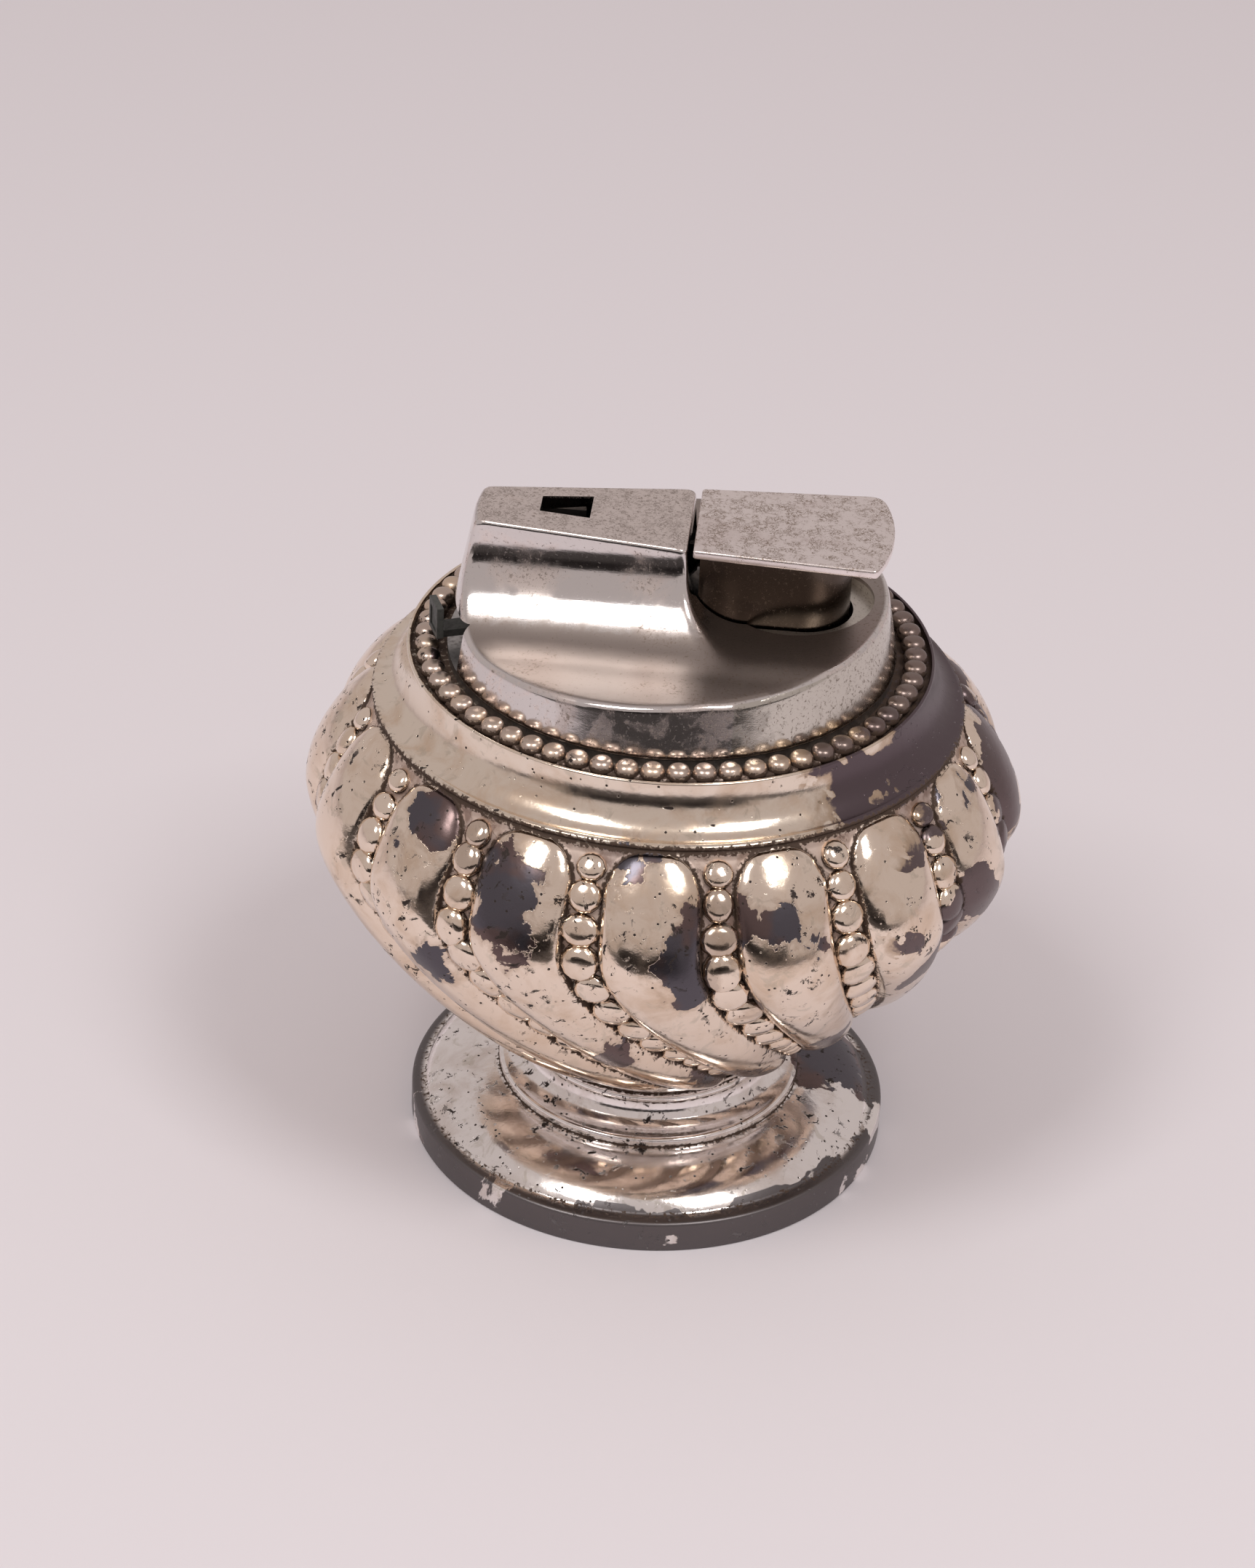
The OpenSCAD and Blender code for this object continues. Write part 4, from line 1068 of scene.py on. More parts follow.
        pts = np.stack([rad * np.cos(ang), rad * np.sin(ang), hgt], -1).reshape(len(s), -1, 3)
        off = np.concatenate([np.abs(u_lobe) - w[:, None], (1 - np.abs(ground_f)) * half_ground[:, None]], 1)
        hollow = np.broadcast_to(smoothstep(off, -0.35, 0.0)[:, None, :], ang.shape).reshape(len(s), -1)
        crevice = np.broadcast_to(np.exp(-(off / 0.30) ** 2)[:, None, :], ang.shape).reshape(len(s), -1)
        near_seam = (1 - smoothstep(s, 0.15, 0.8))[:, None]
        hollow = hollow * smoothstep(s, 0.0, 0.6)[:, None]
        crevice = 0.85 * np.maximum(crevice, near_seam)
        ring = self.lobes * u.shape[1]
        inner_r, inner_z = self.inner_line()
        a0 = ang[0].reshape(-1)
        inner = np.stack([inner_r[:, None] * np.cos(a0), inner_r[:, None] * np.sin(a0),
                          np.broadcast_to(inner_z[:, None], (len(inner_r), ring))], -1)
        rows = np.concatenate([inner, pts])
        quads = grid_faces(len(rows), ring, True)[:, ::-1]
        pad = np.zeros((len(inner_r), ring))
        last = (len(rows) - 1) * ring
        extra = [list(range(last, last + ring))[::-1], list(range(ring))]
        attributes = {"hollow": np.concatenate([pad, hollow]), "crevice": np.concatenate([pad, crevice])}
        return make_mesh("bowl_skin", rows.reshape(-1, 3), quads, extra, attributes=attributes)

    def inner_line(self) -> tuple[np.ndarray, np.ndarray]:
        """Line of the bowl's inside, from its floor up to the seam.

        Returns:
            Radii and heights.
        """
        r, z, _, _ = self.at(np.linspace(self.arc[-1] - 4.0, 3.0, 10))
        keep = z > self.seat_z + self.inner_floor + 0.1
        r, z = r[keep] - self.inner_wall, z[keep]
        inner_r = np.concatenate([[self.stud_hole_r], r, [self.inner_neck_r] * 2])
        inner_z = np.concatenate([[self.seat_z + self.inner_floor], z, [self.seam_z - 1.0, self.seam_z]])
        return inner_r, inner_z

    def bead_columns(self) -> bpy.types.Object:
        """Makes every bead as a low button on the ground.

        A bead's section runs from radius b at the ground up to height h in the middle,
        through the shares of b and h in bead_section. Each bead differs a little in size and
        place, and its base is sunk into the ground.

        Returns:
            The new object.
        """
        d = self.bead_sizes()[: self.beads]
        s = self.bead_start + np.cumsum(d) - d / 2
        rng = np.random.default_rng(7)
        shape = (self.beads, self.lobes)
        s = s[:, None] + 0.03 * d[:, None] * rng.standard_normal(shape)
        r, z, nr, nz = self.at(s)
        depth = self.groove(s)
        sway = 0.02 * d[:, None] * rng.standard_normal(shape) / r
        column = np.radians(self.column_a) + 2 * np.pi * np.arange(self.lobes)[None, :] / self.lobes
        phi = column + self.turn(z) + sway
        cos, sin = np.cos(phi), np.sin(phi)
        normal = np.stack([nr * cos, nr * sin, nz], -1)
        step = 0.3
        r2, z2, _, _ = self.at(s + step)
        phi2 = phi + self.turn(z2) - self.turn(z)
        here = np.stack([r * cos, r * sin, z], -1)
        down = np.stack([r2 * np.cos(phi2), r2 * np.sin(phi2), z2], -1) - here
        down -= (down * normal).sum(-1, keepdims=True) * normal
        stretch = np.linalg.norm(down, axis=-1) / step
        down /= np.linalg.norm(down, axis=-1, keepdims=True)
        side = np.cross(normal, down)
        centre = here - normal * (depth[..., None] + self.bead_sunk)
        around = np.linspace(0, 2 * np.pi, self.bead_sides, endpoint=False)
        share_b, share_h = np.array(self.bead_section).T
        size = 1 + 0.07 * rng.standard_normal(shape)
        along = (0.50 * d[:, None] * stretch * size)[..., None, None]
        across = (0.51 * d[:, None] * (1 + 0.05 * rng.standard_normal(shape)))[..., None, None]
        high = (np.minimum(0.85 * depth, 0.31 * d[:, None]) * size + self.bead_sunk)[..., None, None]
        x = along * share_b[:, None] * np.cos(around)
        y = across * share_b[:, None] * np.sin(around)
        h = high * share_h[:, None] * np.ones_like(around)
        pts = (centre[:, :, None, None, :] + x[..., None] * down[:, :, None, None, :]
               + y[..., None] * side[:, :, None, None, :] + h[..., None] * normal[:, :, None, None, :])
        count, rows, cols = self.beads * self.lobes, share_b.size, around.size
        rim = np.tile(np.repeat(np.exp(-(share_h / 0.28) ** 2), cols), count)
        return domes("bead_columns", pts.reshape(count, rows * cols, 3), rows, cols,
                     {"hollow": 0.8 * rim, "crevice": 0.95 * rim, "bead": np.ones_like(rim)})

    def place(self) -> None:
        """Builds the bowl and puts it in the place of its node."""
        for piece in self.build():
            settle(piece, self.material, Body.VESSEL, "gadrooned_bowl")


@dataclass
class Collar:
    """Concave collar over the bowl, with its lip and the beads inside it."""

    material: bpy.types.Material
    bead_material: bpy.types.Material
    seam_r: float = 30.66
    seam_z: float = 53.66
    lip_r: float = 27.4
    lip_z: float = 59.3
    ledge_z: float = 58.4
    bead_ring_r: float = 25.34
    bead_r: float = 1.14
    bead_z: float = 59.12
    bead_count: int = 62
    first_bead: float = 3.2
    bore_r: float = 22.25
    wire_r: Pair = (24.5, 26.2)
    wire_z: Pair = (58.42, 59.0)

    def profile(self) -> np.ndarray:
        """Closed line of the collar's section: seam edge, hollow sweep, lip, ledge and inside.

        The sweep is a quarter ellipse that bends inwards; edge and lip are half circles.

        Returns:
            Points (r, z).
        """
        t = np.linspace(0, np.pi / 2, 40)
        low, high = self.seam_z + 0.62, self.lip_z - 0.3
        wide = self.seam_r - 0.1 - self.lip_r
        sweep = np.stack([self.lip_r + wide * (1 - np.sin(t)), low + (high - low) * (1 - np.cos(t))], -1)
        half_turn = np.linspace(-np.pi / 2, np.pi / 2, 9)
        edge = 0.28 * unit_circle(half_turn) + [self.seam_r - 0.03, self.seam_z + 0.29]
        lip = 0.2 * unit_circle(np.linspace(0, np.pi, 10)) + [self.lip_r - 0.2, self.lip_z - 0.2]
        inside = np.array([
            [self.lip_r - 0.42, self.ledge_z + 0.1], [self.lip_r - 0.52, self.ledge_z],
            [self.bore_r, self.ledge_z], [self.bore_r, self.ledge_z - 1],
            [self.lip_r - 0.8, self.ledge_z - 1], [self.lip_r - 0.6, self.ledge_z - 1.8],
            [self.seam_r - 2.36, self.seam_z + 0.94], [self.seam_r - 2.2, self.seam_z],
        ])
        return np.concatenate([edge, sweep, lip, inside])

    def rim_beads(self) -> bpy.types.Object:
        """Makes the ring of beads on its wire.

        Each bead is a blunt dome, a little wider round the rim than across it.

        Returns:
            The new object.
        """
        a = np.radians(self.first_bead) + 2 * np.pi * np.arange(self.bead_count) / self.bead_count
        cols = 18
        around = np.linspace(0, 2 * np.pi, cols, endpoint=False)
        up = np.linspace(-0.25, np.pi / 2 - 0.1, 8)
        flat = np.cos(up) ** 0.55
        radial = 1.12 * self.bead_r * flat[:, None] * np.cos(around)
        along = 1.10 * self.bead_r * flat[:, None] * np.sin(around)
        high = 0.9 * self.bead_r * np.sin(up)[:, None] * np.ones(cols)
        rad = self.bead_ring_r + radial[None]
        x = rad * np.cos(a)[:, None, None] - along * np.sin(a)[:, None, None]
        y = rad * np.sin(a)[:, None, None] + along * np.cos(a)[:, None, None]
        z = np.broadcast_to(self.bead_z + high, x.shape)
        pts = np.stack([x, y, z], -1).reshape(self.bead_count, -1, 3)
        crevice = np.broadcast_to(np.exp(-(np.maximum(0, high - 0.05) / 0.34) ** 2), x.shape)
        return domes("rim_bead_ring", pts, up.size, cols,
                     {"crevice": 0.95 * crevice.reshape(-1), "hollow": np.zeros(x.size)})

    def place(self) -> None:
        """Builds the collar and the rim beads and puts them in the place of their nodes."""
        profile = self.profile()
        r, z = profile.T
        dark = (1 - smoothstep(z, self.seam_z + 0.25, self.seam_z + 0.75)) * 0.8
        dark = np.maximum(dark, (r < self.lip_r - 0.41) * (z < self.lip_z - 0.3) * 0.75)
        ring = revolve("collar_sweep", profile, attributes={"crevice": dark, "hollow": 0 * dark})
        shade_by_angle(ring, 40)
        settle(ring, self.material, Body.VESSEL, "collar")
        beads = self.rim_beads()
        (r0, r1), (z0, z1) = self.wire_r, self.wire_z
        wire = revolve("rim_bead_wire", np.array([[r0, z0], [r1, z0], [r1, z1], [r0, z1]]),
                       attributes={"crevice": np.full(4, 0.7), "hollow": np.ones(4)})
        for piece in (beads, wire):
            settle(piece, self.bead_material, Body.VESSEL, "rim_beads")


@dataclass
class Foot:
    """Round foot with its dome, step, cavetto and neck ring."""

    material: bpy.types.Material
    radius: float = 26.0
    margin_z: float = 3.6
    step_z: float = 6.6
    ring_r: float = 13.28
    ring_z: float = 10.82
    top_r: float = 14.6
    top_z: float = 12.9
    hole_r: float = 2.1
    wall: float = 1.5

    def profile(self) -> np.ndarray:
        """Closed line of the foot's section, outside first, from the bottom edge up to the seat.

        Returns:
            Points (r, z).
        """
        r = self.radius
        bottom = bezier(np.array([[r - 0.25, 0.0], [r, 0.0], [r, 0.3]]), 4)
        corner = bezier(np.array([[r, 3.15], [r, 3.55], [r - 0.45, 3.62]]), 5)
        margin = np.array([[r - 1.0, 3.68], [r - 1.3, 3.72]])
        dome = bezier(np.array([[r - 1.5, 3.8], [23.4, 5.2], [21.6, 6.4], [16.9, 6.42]]), 32)
        step = bezier(np.array([[16.62, 6.45], [16.42, 6.5], [16.45, 6.75]]), 4)
        lip = bezier(np.array([[16.48, 7.1], [16.5, 7.6], [16.0, 7.62]]), 6)
        cavetto = bezier(np.array([[15.8, 7.62], [13.4, 7.8], [self.ring_r, 10.2]]), 16)
        a = np.linspace(-np.pi / 2, np.pi / 2, 10)
        ring = np.stack([self.ring_r + 0.52 * np.cos(a), self.ring_z + 0.5 * np.sin(a)], -1)
        flare = bezier(np.array([[13.3, 11.45], [13.35, 12.2], [self.top_r - 0.1, 12.5]]), 8)
        under = self.top_z - self.wall
        inside = np.array([
            [self.top_r, self.top_z], [self.hole_r, self.top_z], [self.hole_r, under], [12.0, under],
            [12.1, 9.9], [12.4, 7.6], [15.3, 5.2], [21.0, 4.4], [23.3, 2.5], [23.3, 0.8],
            [r - 1.4, 0.8], [r - 1.4, 0.0],
        ])
        return np.concatenate([bottom, corner, margin, dome, step, lip, cavetto, ring, flare, inside])

    def creases(self, r: np.ndarray, z: np.ndarray) -> np.ndarray:
        """Dirt lines at the step, above and under the ring, and faintly round the margin.

        Args:
            r: Radius of each point of the section.
            z: Height of each point.

        Returns:
            1 in the middle of a line, 0 away from all of them.
        """

        def line(level: float) -> np.ndarray:
            """1 at a height, fading within about 0.15 mm."""
            return np.exp(-((z - level) / 0.15) ** 2)

        margin = (np.abs(r - (self.radius - 1.1)) < 0.6) * (z > self.margin_z) * (z < self.margin_z + 0.35)
        lines = line(self.step_z) * (r < 17) + 0.35 * margin
        return np.clip(lines + line(self.ring_z - 0.57) + line(self.ring_z + 0.58), 0, 1)

    def place(self) -> None:
        """Builds the foot and puts it in the place of its node."""
        profile = self.profile()
        r, z = profile.T
        piece = revolve("foot_turned", profile, attributes={"crevice": self.creases(r, z), "hollow": 0 * r})
        shade_by_angle(piece, 45)
        settle(piece, self.material, Body.VESSEL, "foot")


# Insert


@dataclass
class Casting:
    """Top of the insert: a cone carrying the bar, hollowed by coves in front, behind and at the lever."""

    material: bpy.types.Material
    base_r: float = 23.44
    lean: float = CONE_LEAN
    base_z: float = 59.4
    top_z: float = 74.2
    end_x: float = 1.4
    bar_half: float = 6.7
    taper: float = 7.75
    cove_r: float = 9.3
    end_cove_r: float = 6.0
    floor_z: float = 64.95
    slope: float = 4.3
    slot_half: float = 5.4
    slot_end_x: float = 18.5
    recess_w: float = 2.1
    recess_z: float = 0.10
    recess_x: float = RECESS_X
    bar_wall: float = 1.3
    bar_roof: float = 1.4
    bar_left: float = -18.2
    hollow_r: float = 21.9
    hollow_z: float = 62.3
    burner: Pair = (-12.1, 0.75)
    window: tuple[float, float, float, float] = (-14.1, -8.9, 3.2, 4.7)
    notch: Pair = (143.0, 229.0)
    notch_z: float = 64.6
    eye: Point = (-3.0, 0.0, 60.6)

    @staticmethod
    def soft_max(a: np.ndarray, b: np.ndarray, k: float) -> np.ndarray:
        """Larger of two values, rounded over a band of width k."""
        h = np.maximum(k - np.abs(a - b), 0.0) / k
        return np.maximum(a, b) + h * h * k * 0.25

    @staticmethod
    def cove(y: np.ndarray, z: np.ndarray, r: float) -> np.ndarray:
        """Distance into the space over a cove; positive is space.

        Args:
            y: Distance from the wall, positive inside the metal.
            z: Height over the floor.
            r: Radius of the hollow.

        Returns:
            Signed distance.
        """
        hollow = r - np.hypot(y + r, z - r)
        return np.where((y > -r) & (z < r), hollow, np.where(z >= r, np.where(y > -r, -y, r), z))

    def solid(self, p: np.ndarray) -> np.ndarray:
        """Signed distance to the casting's skin, negative in metal.

        The metal is inside the cone and under the top, and outside three coves that stand
        on one sloping floor.

        Args:
            p: Points, (..., 3).

        Returns:
            Values for each point.
        """
        x, y, z = p[..., 0], p[..., 1], p[..., 2]
        slope, taper = math.radians(self.slope), math.radians(self.taper)
        cone = (np.hypot(x, y) - self.cone_r(z)) * math.cos(math.atan(self.lean))
        body = self.soft_max(self.soft_max(cone, z - self.top_z, 0.9), self.base_z - z, 0.5)
        dx, dz = x - self.end_x, z - self.floor_z
        u = dx * math.cos(slope) + dz * math.sin(slope)
        h = dz * math.cos(slope) - dx * math.sin(slope)
        side = (np.abs(y) - self.bar_half) * math.cos(taper) - u * math.sin(taper)
        end = u - (self.top_z - self.floor_z) * math.tan(slope)
        scoops = self.soft_max(self.cove(-side, h, self.cove_r), self.cove(-end, h, self.end_cove_r), 1.1)
        return self.soft_max(body, scoops, 0.55)

    def cone_r(self, z: float | np.ndarray) -> float | np.ndarray:
        """Radius of the cone at a height."""
        return self.base_r - self.lean * (z - self.base_z)

    def rings(self, count: int) -> np.ndarray:
        """Directions from the eye, on rings that follow the bar's outline, the rim and the base.

        Args:
            count: Number of directions round each ring.

        Returns:
            Unit directions, (rings, count, 3).
        """
        a = np.linspace(0, 2 * np.pi, count, endpoint=False)
        ca, sa = np.cos(a), np.sin(a)
        far = np.full(count, 40.0)
        ex, _, ez = self.eye
        t = math.tan(math.radians(self.taper))
        with np.errstate(divide="ignore", invalid="ignore"):
            end = np.where(ca > 0, (self.end_x - ex) / ca, far)
            side = (self.bar_half + (ex - self.end_x) * t) / (np.abs(sa) - t * ca)
        side = np.where(side > 0, side, far)

        def reach(z: float) -> np.ndarray:
            """Distance from the eye's axis to the cone at a height."""
            return -ex * ca + np.sqrt((ex * ca) ** 2 - ex * ex + self.cone_r(z) ** 2)

        def eased(steps: int) -> np.ndarray:
            """Shares from 0 to 1 that crowd at both ends."""
            return (1 - np.cos(np.pi * np.linspace(0, 1, steps))) / 2

        lip_z = self.floor_z + math.tan(math.radians(self.slope)) * 20 * ca
        pole = np.full(count, np.pi / 2 - 0.002)
        bar = np.arctan2(self.top_z - ez, np.minimum(np.minimum(end, side), reach(self.top_z)))
        rim = np.arctan2(lip_z - ez, reach(65.0))
        base = np.arctan2(self.base_z - ez, reach(self.base_z))
        stretches = (
            (pole, bar, np.sin(np.linspace(0, 1, 22) * np.pi / 2)),
            (bar, rim, eased(72)[1:]),
            (rim, base, eased(26)[1:]),
            (base, -pole, np.linspace(0, 1, 10)[1:]),
        )
        el = np.array([(1 - f) * start + f * stop for start, stop, shares in stretches for f in shares])
        return np.stack([np.cos(el) * ca, np.cos(el) * sa, np.sin(el)], -1)

    def skin(self) -> bpy.types.Object:
        """Finds the skin along every direction by halving, and makes the closed mesh.

        Returns:
            The new object.
        """
        d = self.rings(512)
        eye = np.array(self.eye)
        lo, hi = np.zeros(d.shape[:2]), np.full(d.shape[:2], 34.0)
        for _ in range(30):
            mid = (lo + hi) / 2
            inside = self.solid(eye + d * mid[..., None]) < 0
            lo, hi = np.where(inside, mid, lo), np.where(inside, hi, mid)
        pts = eye + d * lo[..., None]
        rows, cols = d.shape[:2]
        quads = grid_faces(rows, cols, True)[:, ::-1]
        last = (rows - 1) * cols
        extra = [list(range(cols)), list(range(last, last + cols))[::-1]]
        return make_mesh("casting_skin", pts.reshape(-1, 3), quads, extra)

    def openings(self, obj: bpy.types.Object) -> None:
        """Cuts the hollow, the bar's channel, the lever's slot and recess, the flame window and the notch.

        The blocks that start under the base do so at depths of their own, so that no two share a face.

        Args:
            obj: The casting's skin.
        """
        burner = np.array(self.burner)
        half_end = self.bar_half - self.bar_wall
        half_left = half_end - (self.end_x - self.bar_left) * math.tan(math.radians(self.taper))
        shoulder, half_shoulder = self.end_x + 5, half_end - 0.7
        upper = np.array([[shoulder, half_shoulder], [self.end_x, half_end], [self.bar_left, half_left]])
        channel = np.concatenate([upper[::-1] * [1, -1], upper])
        centre = np.array([self.slot_end_x - self.slot_half, 0.0])
        start = np.array([[self.end_x - 0.6, half_end - 0.6], [self.end_x + 0.7, self.slot_half]])
        arc = centre + self.slot_half * unit_circle(np.linspace(-np.pi / 2, np.pi / 2, 40)[1:-1])
        slot = np.concatenate([start * [1, -1], arc, start[::-1]])
        wide = self.slot_half + self.recess_w
        turn = math.acos((self.recess_x - centre[0]) / wide)
        crescent = centre + wide * unit_circle(np.linspace(-turn, turn, 72))
        hollow = self.hollow_r * unit_circle(np.linspace(0, 2 * np.pi, 96, endpoint=False))
        x0, x1, w0, w1 = self.window
        y = burner[1]
        window = np.array([[x0, y - w0 / 2], [x1, y - w1 / 2], [x1, y + w1 / 2], [x0, y + w0 / 2]])
        sector = burner + 20 * unit_circle(np.radians(np.linspace(*self.notch, 12)))
        for name, outline, low, high in (
            ("hollow", hollow, self.base_z - 1, self.hollow_z),
            ("channel", channel, self.base_z - 1.1, self.top_z - self.bar_roof),
            ("slot", slot, self.base_z - 1.2, self.floor_z + 4.5),
            ("recess", crescent, self.floor_z + self.recess_z, self.floor_z + 4.3),
            ("window", window, 70.0, self.top_z + 1.3),
            ("notch", np.concatenate([[burner], sector]), self.base_z - 1.3, self.notch_z),
        ):
            cut(obj, prism(name, outline, low, high))

    def place(self) -> None:
        """Builds the casting and puts it in the place of its node."""
        piece = self.skin()
        self.openings(piece)
        shade_by_angle(piece, 32)
        settle(piece, self.material, Body.INSERT, "top_casting")


@dataclass
class Lever:
    """Thumb lever: the plate with rounded edges and the closed skirt under it; skirt and spring seat wear
    the lever's chrome painted near black, as painted shade under the plate.
    """

    material: bpy.types.Material
    shaded_skirt_material: bpy.types.Material
    x0: float = 2.0
    half0: float = 6.8
    half1: float = 8.1
    end_r: float = 22.1
    top: float = 74.2
    thick: float = 1.0
    skirt_half: float = 5.14
    skirt_t: float = 0.7
    skirt_x: Pair = (2.7, 18.1)
    skirt_low: float = 64.6
    skirt_edge: float = 0.15
    seat: Point = (7.2, 13.6, 69.4)

    def outline(self, inset: float) -> np.ndarray:
        """Plate outline drawn in by a distance: its sides widen outwards and its end follows the cone.

        Args:
            inset: Distance inwards.

        Returns:
            Anticlockwise outline.
        """
        r = self.end_r - inset
        half0, half1 = self.half0 - inset, self.half1 - inset
        front, back = max(0.5 - inset, 0.08), max(1.6 - inset, 0.08)
        a = math.asin(half1 / r)
        arc = [(r * math.cos(t), r * math.sin(t), 0.0) for t in np.linspace(-a + 0.035, a - 0.08, 26)]
        x, near, near_r = r * math.cos(a), self.x0 + inset, 0.35
        pts = [(near, -half0, near_r), (x, -half1, front), *arc, (x, half1, back), (near, half0, near_r)]
        return rounded([(px, py, max(pr - 0.5 * inset, 0.08) if pr else 0.0) for px, py, pr in pts])

    def stadium(self, half: float, x0: float, x1: float) -> np.ndarray:
        """Outline with a flat end at x0 and a round end at x1."""
        arc = np.array([x1 - half, 0.0]) + half * unit_circle(np.linspace(-np.pi / 2, np.pi / 2, 36))
        return np.concatenate([[[x0, -half]], arc, [[x0, half]]])

    def skirt(self) -> bpy.types.Object:
        """Makes the skirt as a closed wall with a rounded lower edge.

        Returns:
            The new object.
        """
        x0, x1 = self.skirt_x
        low, high, wall, edge = self.skirt_low, self.top - self.thick + 0.1, self.skirt_t, self.skirt_edge
        outside = [(edge, low), (0.04, low + 0.05), (0.0, low + edge), (0.0, high)]
        inside = [(wall - inset, z) for inset, z in outside[::-1]]
        rings = [(self.stadium(self.skirt_half - inset, x0 + inset, x1 - inset), z)
                 for inset, z in outside + inside]
        return loft("lever_skirt", rings, closed=True)

    def place(self) -> None:
        """Builds plate, skirt and spring seat and puts them in the place of their node."""
        plate = pillow("thumb_plate", self.outline, self.top - self.thick, self.top, 0.25)
        shade_by_angle(plate, 50)
        skirt = self.skirt()
        shade_by_angle(skirt, 40)
        x0, x1, z = self.seat
        high, reach = z + self.skirt_t, self.skirt_half - 0.2
        section = np.array([[x0, z], [x1, z], [x1, high], [x0, high]])
        seat = prism("lever_seat", section, -reach, reach, Axis.Y)
        settle(plate, self.material, Body.LEVER, "thumb_lever")
        # Skirt and seat take the near-black chrome that paints the shade under the plate.
        for piece in (skirt, seat):
            settle(piece, self.shaded_skirt_material, Body.LEVER, "thumb_lever")


# Scene


@dataclass
class Studio:
    """Floor, soft lamps, surroundings and the camera of the photograph."""

    focal_px: float = 5594.0
    image_h: int = 2156
    pitch: float = 31.93
    roll: float = 2.89
    turn: float = 3.45
    camera_mm: Point = (-3.8, -365.96, 270.03)
    backdrop: Colour = (0.53, 0.475, 0.465)
    paper: Colour = (0.765, 0.72, 0.745)
    table: Colour = (0.04, 0.035, 0.034)
    wall: Colour = (0.035, 0.03, 0.03)
    lamp_size: Pair = (0.27, 0.36)
    lamp_watts: float = 2.9
    lamp_aim: Point = (0.0, 0.0, 0.04)

    def camera(self) -> None:
        """Makes the camera from the fitted pitch, roll, turn and place."""
        p, q = math.radians(self.pitch), math.radians(self.roll)
        ahead = np.array([0.0, math.cos(p), -math.sin(p)])
        right0, up0 = np.array([1.0, 0.0, 0.0]), np.array([0.0, math.sin(p), math.cos(p)])
        right = math.cos(q) * right0 + math.sin(q) * up0
        up = -math.sin(q) * right0 + math.cos(q) * up0
        spin = np.array(Matrix.Rotation(math.radians(self.turn), 3, "Z"))
        matrix = Matrix.Identity(4)
        place = np.array(self.camera_mm) * MM
        for col, vec in enumerate((spin @ right, spin @ up, spin @ -ahead, spin @ place)):
            for row in range(3):
                matrix[row][col] = float(vec[row])
        data = bpy.data.cameras.new("camera")
        data.sensor_fit = "AUTO"
        data.sensor_width = 36.0
        data.lens = self.focal_px / self.image_h * data.sensor_width
        data.clip_start, data.clip_end = 0.01, 20.0
        cam = bpy.data.objects.new("camera", data)
        cam.matrix_world = matrix
        bpy.context.scene.collection.objects.link(cam)
        bpy.context.scene.camera = cam

    def panel(self, name: str, corners: list[Point], colour: Colour) -> None:
        """Makes one flat piece of the studio, such as the floor or a wall out of sight.

        Args:
            name: Object name.
            corners: Four corners in metres.
            colour: Its matte colour.
        """
        mesh = bpy.data.meshes.new(name)
        mesh.from_pydata(corners, [], [(0, 1, 2, 3)])
        obj = bpy.data.objects.new(name, mesh)
        bpy.context.scene.collection.objects.link(obj)
        mat = bpy.data.materials.new(f"{name}_matte")
        mat.use_nodes = True
        shader = mat.node_tree.nodes["Principled BSDF"]
        shader.inputs["Base Color"].default_value = (*colour, 1.0)
        shader.inputs["Roughness"].default_value = 0.9
        shader.inputs["Specular IOR Level"].default_value = 0.15
        dress(obj, mat)
        obj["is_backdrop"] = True

    def room(self) -> None:
        """Makes the pale floor and the dark table and wall behind the camera."""
        e, w, near, far, top = 3.0, 0.9, -0.24, -1.2, 0.22
        self.panel("floor", [(-e, near, 0), (e, near, 0), (e, e, 0), (-e, e, 0)], self.paper)
        self.panel("dark_table", [(-w, far, 0), (w, far, 0), (w, near, 0), (-w, near, 0)], self.table)
        self.panel("dark_wall", [(-w, far, 0), (w, far, 0), (w, far, top), (-w, far, top)], self.wall)

    def lamp(self, name: str, place: Point) -> None:
        """Makes one soft rectangular lamp that faces the object.

        Args:
            name: Object name.
            place: Place in metres.
        """
        data = bpy.data.lights.new(name, "AREA")
        data.shape = "RECTANGLE"
        data.size, data.size_y = self.lamp_size
        data.energy = self.lamp_watts
        obj = bpy.data.objects.new(name, data)
        away = Vector(place) - Vector(self.lamp_aim)
        obj.rotation_euler = away.to_track_quat("Z", "Y").to_euler()
        obj.location = place
        bpy.context.scene.collection.objects.link(obj)

    def surroundings(self) -> None:
        """Makes the world: one pale tone for every kind of ray."""
        world = bpy.data.worlds.new("room")
        bpy.context.scene.world = world
        world.use_nodes = True
        back = world.node_tree.nodes["Background"]
        back.inputs["Color"].default_value = (*self.backdrop, 1.0)
        back.inputs["Strength"].default_value = 1.0

    def build(self) -> None:
        """Makes everything in the scene that is not the object."""
        self.room()
        self.surroundings()
        self.lamp("lamp_left", (-0.35, -0.44, 0.87))
        self.lamp("lamp_right", (0.39, -0.41, 0.87))
        self.camera()
        bpy.context.scene.view_settings.view_transform = "Standard"


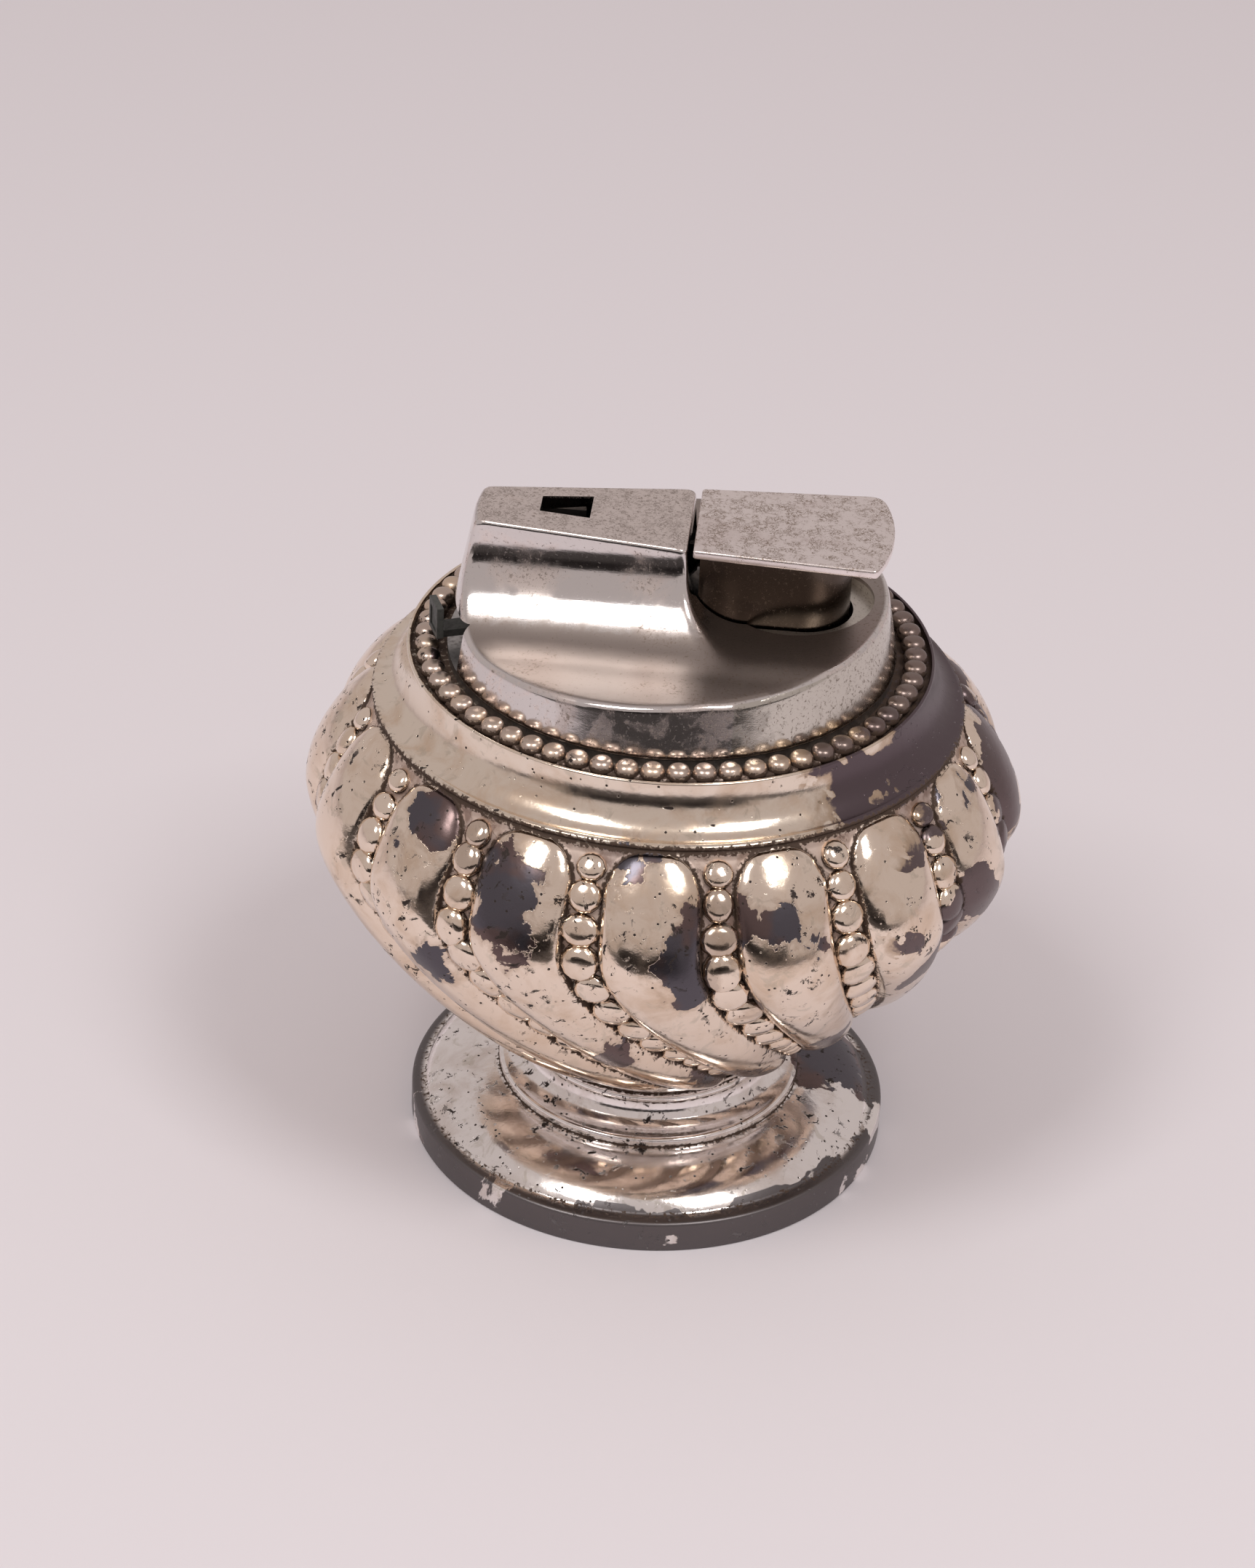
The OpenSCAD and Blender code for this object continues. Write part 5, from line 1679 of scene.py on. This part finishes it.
@dataclass
class Finishes:
    """Every finish of the object, and which node wears which."""

    made: dict[str, bpy.types.Material] = field(default_factory=dict)

    def build(self) -> None:
        """Makes all the materials."""
        for finish in (
            PlateFinish("silver_plate_worn", dark_from=25.0, dark_share=0.92, spared=1.0, low_stain=0.55),
            PlateFinish("collar_plate_worn", clean=(0.87, 0.76, 0.64), gloss=0.14, patch_reach=0.08,
                        dark_from=17.0, spared=0.2, pit_cut=0.66, dashes=True, waves=0.05),
            PlateFinish("bead_plate_worn", clean=(0.58, 0.47, 0.40), gloss=0.28, patch_reach=0.2,
                        dark_from=17.0, dark_share=0.7),
            # The foot's low dark band is worn metal and painted shade together.
            PlateFinish("foot_plate_worn", clean=(0.93, 0.88, 0.85), stain=(0.76, 0.68, 0.63), gloss=0.12,
                        patch_reach=0.02, patch_place=(11.0, 2.0, 3.0), spot=(19.0, 4.0, 6.0), spot_r=6.0,
                        dark_below=3.6, waves=0.03),
            ChromeFinish("casting_chrome", dull=(0.80, 0.71, 0.665), haze=0.12, dull_above=74.1,
                         dull_outside=34.488, film_below=66.3, speck_cut=0.55, worms=True),
            ChromeFinish("lever_chrome", clean=(0.92, 0.84, 0.81), dull=(0.84, 0.75, 0.72),
                         speck=(0.24, 0.165, 0.11), gloss=0.22, haze=0.06, speck_cut=0.60, speck_share=1.0,
                         worms=True),
            # Lever chrome painted near black for the skirt and spring seat: painted shade under the lever
            # plate.
            ChromeFinish("skirt_chrome_painted_shade", clean=(0.10, 0.077, 0.062), dull=(0.075, 0.057, 0.047), gloss=0.22),
            PlainFinish("steel", (0.45, 0.44, 0.43), 1.0, 0.32),
            PlainFinish("dark_steel", (0.075, 0.065, 0.058), 1.0, 0.42),
            PlainFinish("brass", (0.62, 0.42, 0.18), 1.0, 0.28),
            PlainFinish("felt", (0.012, 0.06, 0.03), 0.0, 0.95, 0.2, 3.0),
            PlainFinish("rubber", (0.02, 0.02, 0.02), 0.0, 0.6),
            PlainFinish("tank", (0.62, 0.62, 0.63), 1.0, 0.35),
            PlainFinish("tab_plastic", (0.055, 0.055, 0.05), 0.0, 0.5, 0.02),
            PlainFinish("flint_alloy", (0.16, 0.15, 0.145), 0.8, 0.6, 0.03),
        ):
            self.made[finish.name] = finish.build()
        LOG.info("%d finishes", len(self.made))

    def dress_nodes(self, nodes: dict[str, bpy.types.Object], slots: dict[str, str]) -> None:
        """Gives every node of the frame the finish of its slot.

        Args:
            nodes: The frame's objects by name.
            slots: Material slot of each node.
        """
        finish_of = {"silver_plate": "silver_plate_worn", "worn_foot": "foot_plate_worn",
                     "nickel": "casting_chrome", "tab": "tab_plastic", "flint": "flint_alloy"}
        for name, obj in nodes.items():
            dress(obj, self.made[finish_of.get(slots[name], slots[name])])


def write_size(stage: str, log: dict[str, list[list[float]]]) -> None:
    """Args:
        stage: Name of the moment.
        log: Boxes written so far.
    """
    lo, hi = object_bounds()
    log[stage] = [list(lo), list(hi)]


def main() -> None:
    """Builds the scene in order."""
    logging.basicConfig(level=logging.INFO, format="%(name)s: %(message)s")
    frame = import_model()
    sizes: dict[str, list[list[float]]] = {}
    write_size("frame", sizes)
    slots = {part["node"]: part["material_slot"] for part in frame["record"]["subparts"]}
    finishes = Finishes()
    finishes.build()
    finishes.dress_nodes(frame["nodes"], slots)
    made = finishes.made
    Bowl(made["silver_plate_worn"]).place()
    Collar(made["collar_plate_worn"], made["bead_plate_worn"]).place()
    Foot(made["foot_plate_worn"]).place()
    Casting(made["casting_chrome"]).place()
    Lever(made["lever_chrome"], made["skirt_chrome_painted_shade"]).place()
    Studio().build()
    write_size("scene", sizes)


if __name__ == "__main__":
    main()
